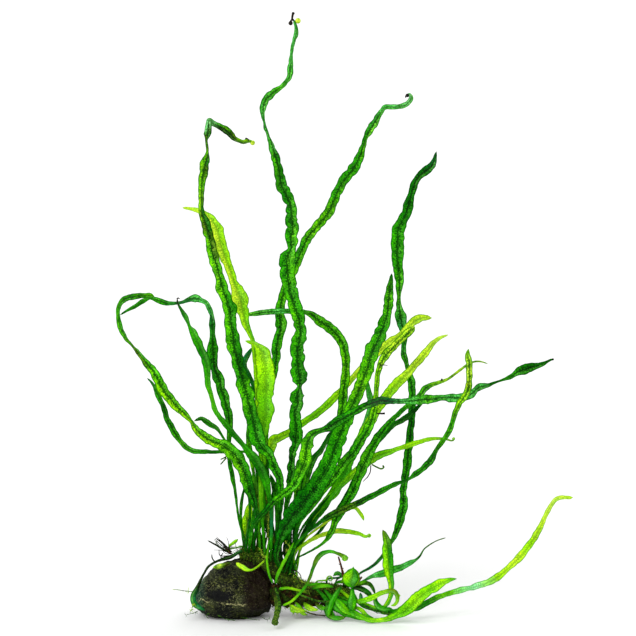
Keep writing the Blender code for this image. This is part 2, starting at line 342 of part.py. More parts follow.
        (-15.5, 88.9, -24, 2.3, 0), (-19.3, 92.2, -24, 1.7, 0), (-21.9, 95.9, -24, 1.2, 30),
        (-25.2, 99.9, -24, 1.6, 0), (-29.1, 103.3, -24, 2.1, 0), (-32.3, 107.4, -24, 2.4, 0),
        (-35.9, 111.8, -23, 2.4, 0), (-38.4, 116.8, -22, 2.3, 0), (-40.8, 121.2, -21, 2.1, 0),
        (-43.8, 124.9, -19.5, 1.8, 0), (-46.6, 128.3, -18, 1.3, 0), (-49.6, 132, -17, 1.5, 50),
        (-52.4, 135.8, -16, 1.5, 60), (-54.9, 138.6, -15.3, 1.3, 20), (-57.1, 143, -14.3, 1.3, 0),
        (-58.3, 147.5, -12.7, 1.1, 0), (-58.6, 151.5, -11, 1.1, 0), (-57.7, 154.7, -9.5, 1.2, 0),
        (-55.4, 157.2, -8, 1.4, 0), (-51, 158.5, -5.3, 1.5, 0), (-46.5, 159.2, -3.4, 1.3, 0),
        (-42.5, 159.1, -2.3, 1.25, 0), (-40.2, 158.6, -2, 0.6, 0),
    ]),
    "frond_left_tall": (MATURE, (0.07, 18), [
        (2, 47, -4, 0.55, 0), (0, 62, -5.5, 0.8, 0), (-1.5, 69.5, -6, 1.2, 0), (-3.4, 82, -6, 0.9, 0),
        (-2.6, 92, -6, 1.5, 0), (-3.2, 100, -6, 2.1, 0), (-4.8, 105, -6, 2.3, 0),
        (-5.4, 108.5, -5.6, 2.6, 0), (-7.2, 113, -5, 2.2, 0), (-7.7, 116.3, -4.7, 2.8, 0),
        (-9.3, 120, -4.2, 2.4, 0), (-10.4, 123.5, -3.8, 1.8, 0), (-11, 128.5, -3.3, 2.6, 0),
        (-11.2, 133, -2.9, 2.7, 0), (-11.3, 137.3, -2.4, 1.8, 0), (-11.2, 141, -2, 1.3, 0),
        (-11.4, 145.5, -1.5, 1.6, 0), (-11.6, 149.3, -1, 1.1, 0), (-13, 153.2, 0.8, 1.3, 0),
        (-14.3, 155.5, 2, 1.2, 0), (-17, 156.9, 3, 1.3, 0), (-20, 157.8, 4, 2, 0),
        (-23, 157.2, 5, 1.3, 0), (-26, 156, 5.7, 0.9, 0), (-28.7, 155.5, 6.2, 0.8, 0),
        (-32, 155.3, 7.2, 1, 0), (-35, 155.6, 8, 1.3, 0), (-38, 156.6, 8.6, 1.4, 0),
        (-40.5, 157.6, 9, 1.1, 0), (-42.8, 157.9, 9.3, 0.8, 0), (-46, 156.3, 9.8, 1.2, 0),
        (-50, 153.9, 10.3, 1, 0), (-54, 151.7, 10.7, 0.7, 0), (-57.5, 149.5, 11, 0.35, 0),
    ]),
    "frond_left_straight": (YOUNG, (0.26, 62), [
        (18.3, 49.5, -10, 1, 0), (17, 59.5, -12, 1.4, 0), (14, 70, -14, 2.4, 0), (10, 77, -15, 2.4, 0),
        (4, 84.7, -14.5, 1.3, 0), (-1.5, 91, -13.5, 1.5, 0), (-9.1, 100.5, -13, 1.3, 0),
        (-11.2, 106.5, -12.4, 1.2, 0), (-12.2, 110.5, -12, 1.2, 0), (-13.5, 115, -11.6, 1.5, 0),
        (-13.8, 121, -11, 1.6, 0), (-15, 128, -11, 2.1, 0), (-17.3, 133, -10.3, 1.9, 0),
        (-19.5, 137.5, -10, 2.1, 0), (-20.9, 140.8, -9.6, 1.9, 0), (-22.5, 143.8, -9.2, 1.2, 50),
        (-23.7, 146.3, -8.7, 1, 30), (-25.2, 149.3, -7.9, 1.3, 0), (-27.2, 152.6, -6.7, 0.7, 0),
        (-28.5, 155.3, -5.7, 0.5, 0), (-29, 157.7, -5, 0.5, 0),
    ]),
    "frond_left_low": (YOUNG, (0.16, -12), [
        (11, 46, 1, 0.6, 0), (11.2, 66, 0, 0.6, 0), (8, 79.5, 0.5, 0.6, 0), (-3, 81, 1, 0.7, 0),
        (-12.5, 81, 3, 1, 0), (-22, 82, 6, 1.3, 0), (-28.5, 88, 8, 1.5, 0), (-34, 97.5, 9, 1.6, 0),
        (-34.9, 100.5, 9.4, 1.5, 0), (-35.8, 103.5, 9.7, 1.4, 0), (-37, 106.5, 10, 1.4, 0),
        (-38.7, 110, 10.5, 1.3, 0), (-40.4, 113.8, 11, 0.9, 0), (-42, 116.2, 11, 0.6, 0),
        (-44, 118, 11, 0.35, 0),
    ]),
    "frond_left_small": (DARK, (0.07, 50), [
        (7.5, 50, -8, 0.6, 0), (5.5, 66, -10, 0.6, 0), (1, 78, -12, 0.6, 0), (-5.8, 88, -13, 0.6, 0),
        (-7.7, 91.1, -13.4, 0.6, 0), (-9.6, 93.2, -13.9, 0.75, 0), (-12.2, 94.7, -14.3, 0.85, 0),
        (-14.4, 96.2, -14.8, 0.9, 0), (-16.8, 97.8, -15.4, 0.7, 0), (-18.8, 97.2, -15.8, 0.45, 0),
        (-20.5, 96.4, -16, 0.35, 0),
    ]),
    "frond_lime_foot": (YOUNG, (0.11, -35), [
        (6.2, 35, 1.8, 1, 0), (5.7, 38, 2.2, 1.8, 0), (5.6, 42, 2.5, 2.5, 0), (6, 46, 2.8, 2.6, 0),
        (6.8, 50, 3, 2.2, 0), (8.3, 57, 3, 1.2, 0), (10, 64.5, 3, 0.4, 0),
    ]),
    "frond_thin_foot": (MATURE, (0.04, -10), [
        (3, 46, -0.5, 0.7, 0), (3.1, 55, -0.5, 0.8, 0), (5, 64.5, -0.5, 0.35, 0),
    ]),
    "frond_dotted_foot": (YOUNG, (0.17, 18), [
        (11.4, 49.5, -4, 1, 0), (10.9, 57, -5, 1.7, 0), (9.8, 64.5, -5, 1.7, 0), (9, 71, -6, 0.4, 0),
    ]),
}

# The same kind of route, for what doesn't start on the rhizome: its first point is its own foot.
LOOSE = {
    "crozier_large": (YOUNG, [
        (24, 4.2, -21.5, 0.5, 0), (28, 6.2, -22, 0.6, 0), (31.5, 9.4, -21, 0.6, 0),
        (35.2, 13.8, -19, 0.7, 0), (37.8, 19, -18, 0.8, 0), (39.1, 23.5, -18, 0.9, 0),
        (41, 27.6, -18, 1.3, 0), (43.7, 30.2, -18, 1.2, 0), (47.5, 31.2, -18, 0.9, 0),
        (51.2, 30.3, -18, 0.8, 0), (54, 28.9, -18, 1.1, 0), (55.6, 27.7, -18, 1.2, 0),
        (55.2, 26.5, -18, 0.8, 0),
    ]),
    "stem_front_left": (YOUNG, [
        (18.8, 15.4, -11.5, 0.5, 0), (17, 20, -12, 0.6, 0), (16, 26, -11, 0.6, 0),
        (16.3, 31.5, -10, 0.5, 0), (17.2, 37, -9.5, 0.3, 0),
    ]),
    "stem_front_right": (YOUNG, [
        (20.3, 15.2, -12.5, 0.5, 0), (21.2, 19.5, -14, 0.8, 0), (24, 25, -14.5, 0.8, 0),
        (27, 31, -13.5, 0.7, 0), (29.5, 36, -13, 0.3, 0),
    ]),
    "stem_across": (YOUNG, [
        (22, 12.6, -12, 0.6, 0), (26, 13, -12, 0.7, 0), (31, 12, -12, 0.7, 0), (36, 10.6, -11, 0.4, 0),
    ]),
    "runner_lime": (YOUNG, [
        (14.8, 26.8, -10, 0.4, 0), (11, 23.5, -13, 0.5, 0), (7.5, 21.9, -15, 0.6, 0),
        (4, 23.3, -14.5, 1.3, 0), (0.5, 25.6, -12, 0.7, 0),
    ]),
    "leaf_dead_yellow": (BROWN, [
        (-2.5, 25.6, -8, 0.6, 0), (-6, 24.3, -9.5, 1.2, 0), (-9, 23.7, -10.5, 1.2, 0),
        (-11.2, 23.3, -11, 0.4, 0),
    ]),
    "root_left_1": (BROWN, [
        (-2, 30.4, 1, 0.5, 0), (-6, 32.4, 0, 0.5, 0), (-10, 34.8, 0, 0.45, 0), (-13.8, 36.8, 0, 0.3, 0),
    ]),
    "root_left_2": (BROWN, [
        (-2.2, 31.9, 2.7, 0.45, 0), (-6, 35.1, 2.5, 0.4, 0), (-9.8, 38.1, 2.5, 0.25, 0),
    ]),
    "root_left_3": (BROWN, [(-9.8, 25.8, -1, 0.3, 0), (-11.4, 28, -2, 0.3, 0), (-11.6, 30, -2, 0.25, 0)]),
    "root_middle": (BROWN, [
        (26.6, 21.9, 1.6, 0.35, 0), (27.2, 25.5, 3.4, 0.35, 0), (28.5, 30.5, 4, 0.35, 0),
        (30, 36, 4, 0.3, 0), (32.5, 45, 3, 0.25, 0),
    ]),
    "root_ground": (BROWN, [
        (33.5, 9.2, -3.4, 0.35, 0), (32.8, 5, -6, 0.35, 0), (35, 1.6, -9, 0.35, 0),
        (40, -0.3, -9.5, 0.3, 0), (46, -0.9, -9.5, 0.25, 0),
    ]),
}

# The tiny rolled frond: the foot of its stalk, the middle of its roll, and the roll's size.
CROZIER_FOOT = (0.72, 5)
CROZIER_MIDDLE = (47.5, 17.6, -2.5)
CROZIER_RADIUS = 1.6
CROZIER_TURNS = 1.2
CROZIER_POINTS = 12
CROZIER_START = math.radians(200)
CROZIER_TIGHTENING = 0.62
CROZIER_ADVANCE = 1.2
CROZIER_HALF = 0.4
CROZIER_TIP_HALF = 0.25


def clear_scene():
    for obj in list(bpy.data.objects):
        bpy.data.objects.remove(obj, do_unlink=True)


def make_material(name, colour, roughness):
    found = bpy.data.materials.get(name)
    if found:
        return found
    material = bpy.data.materials.new(name)
    material.use_nodes = True
    surface = material.node_tree.nodes["Principled BSDF"]
    surface.inputs["Base Color"].default_value = (*colour, 1)
    surface.inputs["Roughness"].default_value = roughness
    surface.inputs["Metallic"].default_value = 0
    return material


AHEAD = Vector((0, math.cos(SIGHT_TILT), -math.sin(SIGHT_TILT)))
UPWARD = Vector((0, math.sin(SIGHT_TILT), math.cos(SIGHT_TILT)))
EYE = Vector((SIGHT_MIDDLE[0], 0, 0)) + UPWARD * SIGHT_MIDDLE[1] - AHEAD * EYE_DISTANCE


def seen(across, up, depth):
    """The point in millimetres that the eye sees at (across, up), at this depth."""
    depth *= 1 + FAN * min(max((up - FAN_LOW) / (FAN_HIGH - FAN_LOW), 0), 1)
    on_plane = Vector((across, 0, 0)) + UPWARD * up
    reach = (depth - EYE.y) / (on_plane.y - EYE.y)
    return EYE + (on_plane - EYE) * reach


def spline_at(points, where):
    """A smooth curve through points of any length, where counts points from the first."""
    index = min(int(where), len(points) - 2)
    part = where - index
    a = points[max(index - 1, 0)]
    b, c = points[index], points[index + 1]
    d = points[min(index + 2, len(points) - 1)]
    near = math.dist(b[:3], c[:3])
    rise_b = [(end - start) * near / max(math.dist(a[:3], c[:3]), 1e-6) for start, end in zip(a, c)]
    rise_c = [(end - start) * near / max(math.dist(b[:3], d[:3]), 1e-6) for start, end in zip(b, d)]
    square, cube = part * part, part**3
    return [
        p * (2 * cube - 3 * square + 1) + m * (cube - 2 * square + part)
        + q * (3 * square - 2 * cube) + n * (cube - square)
        for p, q, m, n in zip(b, c, rise_b, rise_c)
    ]


def stations(points, fine=12):
    """Points along the curve, closer together where it bends."""
    count = (len(points) - 1) * fine
    line = [spline_at(points, step / fine) for step in range(count + 1)]
    cost = [0.0]
    for index in range(1, len(line)):
        here, back = Vector(line[index][:3]), Vector(line[index - 1][:3])
        bend = 0.0
        if index + 1 < len(line):
            bend = math.degrees((here - back).angle(Vector(line[index + 1][:3]) - here, 0))
        roll = abs(line[index][4] - line[index - 1][4]) if len(line[index]) > 4 else 0
        cost.append(cost[-1] + (here - back).length / LONG_STEP + (bend + roll * ROLL_SHARE) / TURN_STEP)
    total = max(3, round(cost[-1]))
    chosen, index = [], 0
    for step in range(total + 1):
        wanted = cost[-1] * step / total
        while index < len(cost) - 1 and cost[index] < wanted - 1e-9:
            index += 1
        chosen.append(line[index])
    return chosen


def direction(line, index):
    ahead = Vector(line[min(index + 1, len(line) - 1)][:3])
    behind = Vector(line[max(index - 1, 0)][:3])
    return (ahead - behind).normalized()


def add_object(name, bm, material):
    """Turns the built shape into a smooth named object with this material."""
    for face in bm.faces:
        face.smooth = True
    bmesh.ops.recalc_face_normals(bm, faces=bm.faces)
    mesh = bpy.data.meshes.new(name)
    bm.to_mesh(mesh)
    bm.free()
    mesh.materials.append(material)
    obj = bpy.data.objects.new(name, mesh)
    bpy.context.scene.collection.objects.link(obj)
    return obj


def skin_rings(bm, rings):
    for ring, after in zip(rings, rings[1:]):
        for side in range(len(ring)):
            beside = (side + 1) % len(ring)
            bm.faces.new((ring[side], ring[beside], after[beside], after[side]))
    bm.faces.new(rings[0])
    bm.faces.new(rings[-1])


def add_blade(name, look, points):
    """A thin blade with a ridge down both faces, laid along the points."""
    line = stations(points)
    bm = bmesh.new()
    rings = []
    for index, (x, y, z, half, turn) in enumerate(line):
        along = direction(line, index)
        side = along.cross(-AHEAD).normalized()
        face = side.cross(along).normalized()
        roll = Matrix.Rotation(math.radians(turn), 3, along)
        side, face = roll @ side, roll @ face
        thick = min(RIB, STALK_ROUNDNESS * half) / 2
        middle = Vector((x, y, z))
        ring = [middle + side * half, middle + face * thick, middle - side * half, middle - face * thick]
        rings.append([bm.verts.new(point * MM) for point in ring])
    skin_rings(bm, rings)
    return add_object(name, bm, make_material(*look, LEAF_ROUGHNESS))


def add_tube(name, points, sides, material):
    """A round stem through (x, y, z, radius) points, with domed ends from its own radii."""
    line = stations(points)
    bm = bmesh.new()
    rings = []
    for index, (x, y, z, radius) in enumerate(line):
        along = direction(line, index)
        side = along.cross(AHEAD).normalized()
        face = side.cross(along).normalized()
        ring = []
        for step in range(sides):
            angle = 2 * math.pi * step / sides
            ring.append(Vector((x, y, z)) + (side * math.cos(angle) + face * math.sin(angle)) * radius)
        rings.append([bm.verts.new(point * MM) for point in ring])
    skin_rings(bm, rings)
    return add_object(name, bm, material)


def world_route(route):
    return [(*seen(across, up, depth), *rest) for across, up, depth, *rest in route]


def on_rhizome(along, around):
    """A stalk's foot: a point just off the rhizome's skin and the way it leaves, 0 is up, 90 to the eye."""
    stem = world_route(RHIZOME)
    where = along * (len(stem) - 1)
    here = spline_at(stem, where)
    forward = Vector(spline_at(stem, min(where + 0.05, len(stem) - 1))[:3])
    backward = Vector(spline_at(stem, max(where - 0.05, 0))[:3])
    line = (forward - backward).normalized()
    up = (Vector((0, 0, 1)) - line * line.z).normalized()
    out = Matrix.Rotation(math.radians(around), 3, line) @ up
    if out.y * around > 0:
        out = Matrix.Rotation(math.radians(-around), 3, line) @ up
    return Vector(here[:3]) + out * (here[3] + GAP), out


def add_frond(name, look, foot, route):
    start, out = on_rhizome(*foot)
    half = min(STALK_HALF, route[0][3])
    leaving = [(*start, half, 0), (*(start + out * STALK_RISE), half, 0)]
    return add_blade(name, look, leaving + world_route(route))


def add_stone():
    """A worn lump: a squashed ball, lower on the left, roughened and cut flat underneath."""
    bm = bmesh.new()
    bmesh.ops.create_icosphere(bm, subdivisions=3, radius=1)
    for vert in bm.verts:
        way = vert.co.copy()
        lump = noise.fractal(way * 1.6 + STONE_SEED, 0.8, 2.1, 4) * STONE_ROUGHNESS
        tall = STONE_TOP if way.z > 0 else STONE_BOTTOM
        slope = 1 - STONE_LEFT_SLOPE * max(-way.x, 0) if way.z > 0 else 1
        skin = Vector((way.x * STONE_WIDTH / 2, way.y * STONE_DEPTH / 2, way.z * tall * slope))
        vert.co = skin + way * lump
        vert.co.z += STONE_MIDDLE_HEIGHT
        vert.co *= MM
    bmesh.ops.bisect_plane(
        bm, geom=bm.verts[:] + bm.edges[:] + bm.faces[:], plane_co=(0, 0, 0), plane_no=(0, 0, 1),
        clear_inner=True, dist=1e-7,
    )
    rim = [edge for edge in bm.edges if edge.is_boundary]
    bmesh.ops.contextual_create(bm, geom=rim)
    stone = add_object("stone", bm, make_material(*STONE, DULL_ROUGHNESS))
    stone.data.set_sharp_from_angle(angle=STONE_SHARP)


def add_crozier():
    start, out = on_rhizome(*CROZIER_FOOT)
    middle = seen(*CROZIER_MIDDLE)
    right = Vector((1, 0, 0))
    points = [(*start, CROZIER_HALF, 0), (*(start + out * STALK_RISE / 2), CROZIER_HALF, 0)]
    for step in range(CROZIER_POINTS + 1):
        part = step / CROZIER_POINTS
        angle = CROZIER_START - 2 * math.pi * CROZIER_TURNS * part
        radius = CROZIER_RADIUS * (1 - CROZIER_TIGHTENING * part)
        point = middle + (right * math.cos(angle) + UPWARD * math.sin(angle)) * radius
        point -= AHEAD * CROZIER_ADVANCE * part
        points.append((*point, CROZIER_HALF + (CROZIER_TIP_HALF - CROZIER_HALF) * part, 0))
    add_blade("crozier_small", YOUNG, points)


def main():
    clear_scene()
    add_stone()
    bark = make_material(*BARK, BARK_ROUGHNESS)
    add_tube("rhizome", world_route(RHIZOME), RHIZOME_SIDES, bark)
    add_tube("rhizome_offshoot", world_route(OFFSHOOT), OFFSHOOT_SIDES, bark)
    for name, (look, foot, route) in FRONDS.items():
        add_frond(name, look, foot, route)
    for name, (look, route) in LOOSE.items():
        add_blade(name, look, world_route(route))
    add_crozier()


main()
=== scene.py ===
# %% [markdown]
# A water fern grown on a stone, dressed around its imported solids.
#
# The plant is a tuft of ribbon-like fronds that rise from one creeping stem, the rhizome, which grips a dark
# stone. The solids in the frame carry the weight and the collision. This script gives every one of them its
# finished surface: ruffled, veined blades, a scaly rhizome, a rough stone, wiry roots and tufts of moss.

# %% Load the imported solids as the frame
import math
import random

import bpy
import numpy as np
from mathutils import Matrix, Vector, noise


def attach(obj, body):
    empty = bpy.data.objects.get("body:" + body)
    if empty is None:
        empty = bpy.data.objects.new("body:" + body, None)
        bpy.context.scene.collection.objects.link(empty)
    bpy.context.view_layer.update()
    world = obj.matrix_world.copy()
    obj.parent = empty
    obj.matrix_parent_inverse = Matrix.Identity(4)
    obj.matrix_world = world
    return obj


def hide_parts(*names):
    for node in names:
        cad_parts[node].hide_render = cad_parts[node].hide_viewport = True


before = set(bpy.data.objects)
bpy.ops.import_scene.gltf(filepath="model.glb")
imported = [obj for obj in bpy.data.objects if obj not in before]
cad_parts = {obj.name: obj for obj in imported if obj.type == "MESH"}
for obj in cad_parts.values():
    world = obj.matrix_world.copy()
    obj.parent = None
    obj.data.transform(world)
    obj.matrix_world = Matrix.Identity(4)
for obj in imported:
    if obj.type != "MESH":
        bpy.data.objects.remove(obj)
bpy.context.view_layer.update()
print("packed solids:", len(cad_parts))

# %% [markdown]
# Every route in this script is a short list of points as the eye sees them: across and up in millimetres
# from the middle of the stone's underside, and a depth that runs away from the eye. Seeing the plant this
# way keeps its outline right, and the depth then decides how the tuft looks from the side. One function
# turns such a point into a place in the world.

# %% The eye, and points as it sees them
MM = 0.001
SIGHT_TILT = math.radians(8)
EYE_DISTANCE = 1600.0
SIGHT_MIDDLE = (41.5, 148.0)
SIGHT_WIDTH = 318.0

AHEAD = Vector((0, math.cos(SIGHT_TILT), -math.sin(SIGHT_TILT)))
UPWARD = Vector((0, math.sin(SIGHT_TILT), math.cos(SIGHT_TILT)))
EYE = Vector((SIGHT_MIDDLE[0], 0, 0)) + UPWARD * SIGHT_MIDDLE[1] - AHEAD * EYE_DISTANCE

# The tuft opens towards the eye and away from it as it rises: every depth starts to grow at FAN_LOW, and from
# FAN_HIGH upwards it has grown by FAN times itself.
FAN = 1.0
FAN_LOW = 40.0
FAN_HIGH = 140.0


def seen(across, up, depth):
    """The point in millimetres that the eye sees at (across, up), at this depth."""
    depth *= 1 + FAN * min(max((up - FAN_LOW) / (FAN_HIGH - FAN_LOW), 0), 1)
    on_plane = Vector((across, 0, 0)) + UPWARD * up
    reach = (depth - EYE.y) / (on_plane.y - EYE.y)
    return EYE + (on_plane - EYE) * reach


def as_seen(places):
    """Where the eye sees points of the world, as (across, up): what seen() starts from."""
    ray = np.asarray(places) - np.array(EYE)
    ray *= EYE_DISTANCE / (ray @ np.array(AHEAD))[..., None]
    plane = ray + np.array(EYE)
    return np.stack([plane[..., 0], plane @ np.array(UPWARD)], axis=-1)


def world_route(route):
    """Seen points as world points, each with its half width or radius, and its turn, or 0 without one."""
    return [(*seen(across, up, depth), half, *(turn or [0])) for across, up, depth, half, *turn in route]


print("eye at", [round(value) for value in EYE], "mm")

# %% [markdown]
# A real frond of this fern is a ribbon, so it needs five numbers at each point: where it is, how wide it is
# to either side of its midrib, and its turn, which is how far it has rolled about its own line. The routes
# below were read off the photograph one frond at a time, from the foot to the tip. The solids follow the
# same routes.

# %% The creeping stem and its offshoot
# Points as (across, up, depth, radius)
RHIZOME = [
    (2, 30, 1, 1.6), (8, 29.4, 0, 2.7), (14, 27.2, -1, 3.5), (20, 22.8, -1, 4.1), (25.5, 17.4, -1, 4.2),
    (31, 13.4, -1, 3.9), (37, 11.6, 0, 3.8), (44, 11.3, 2, 3.9), (52, 10.6, 2, 3.6), (59, 8.6, 0, 2.6),
]
OFFSHOOT = [
    (19.5, 13, -10.5, 1.2), (20.8, 8.5, -14, 1.4), (21.5, 4, -20, 1.6), (20.9, -0.3, -26, 1.3),
    (20.2, -3, -30.5, 1.5), (19.9, -4.2, -33, 1.6), (19.8, -4.5, -34.5, 0.9),
]

# %% The fronds
MATURE, YOUNG, TEAL, DARK, BROWN = "frond_green", "frond_lime", "frond_teal", "frond_dark", "root"

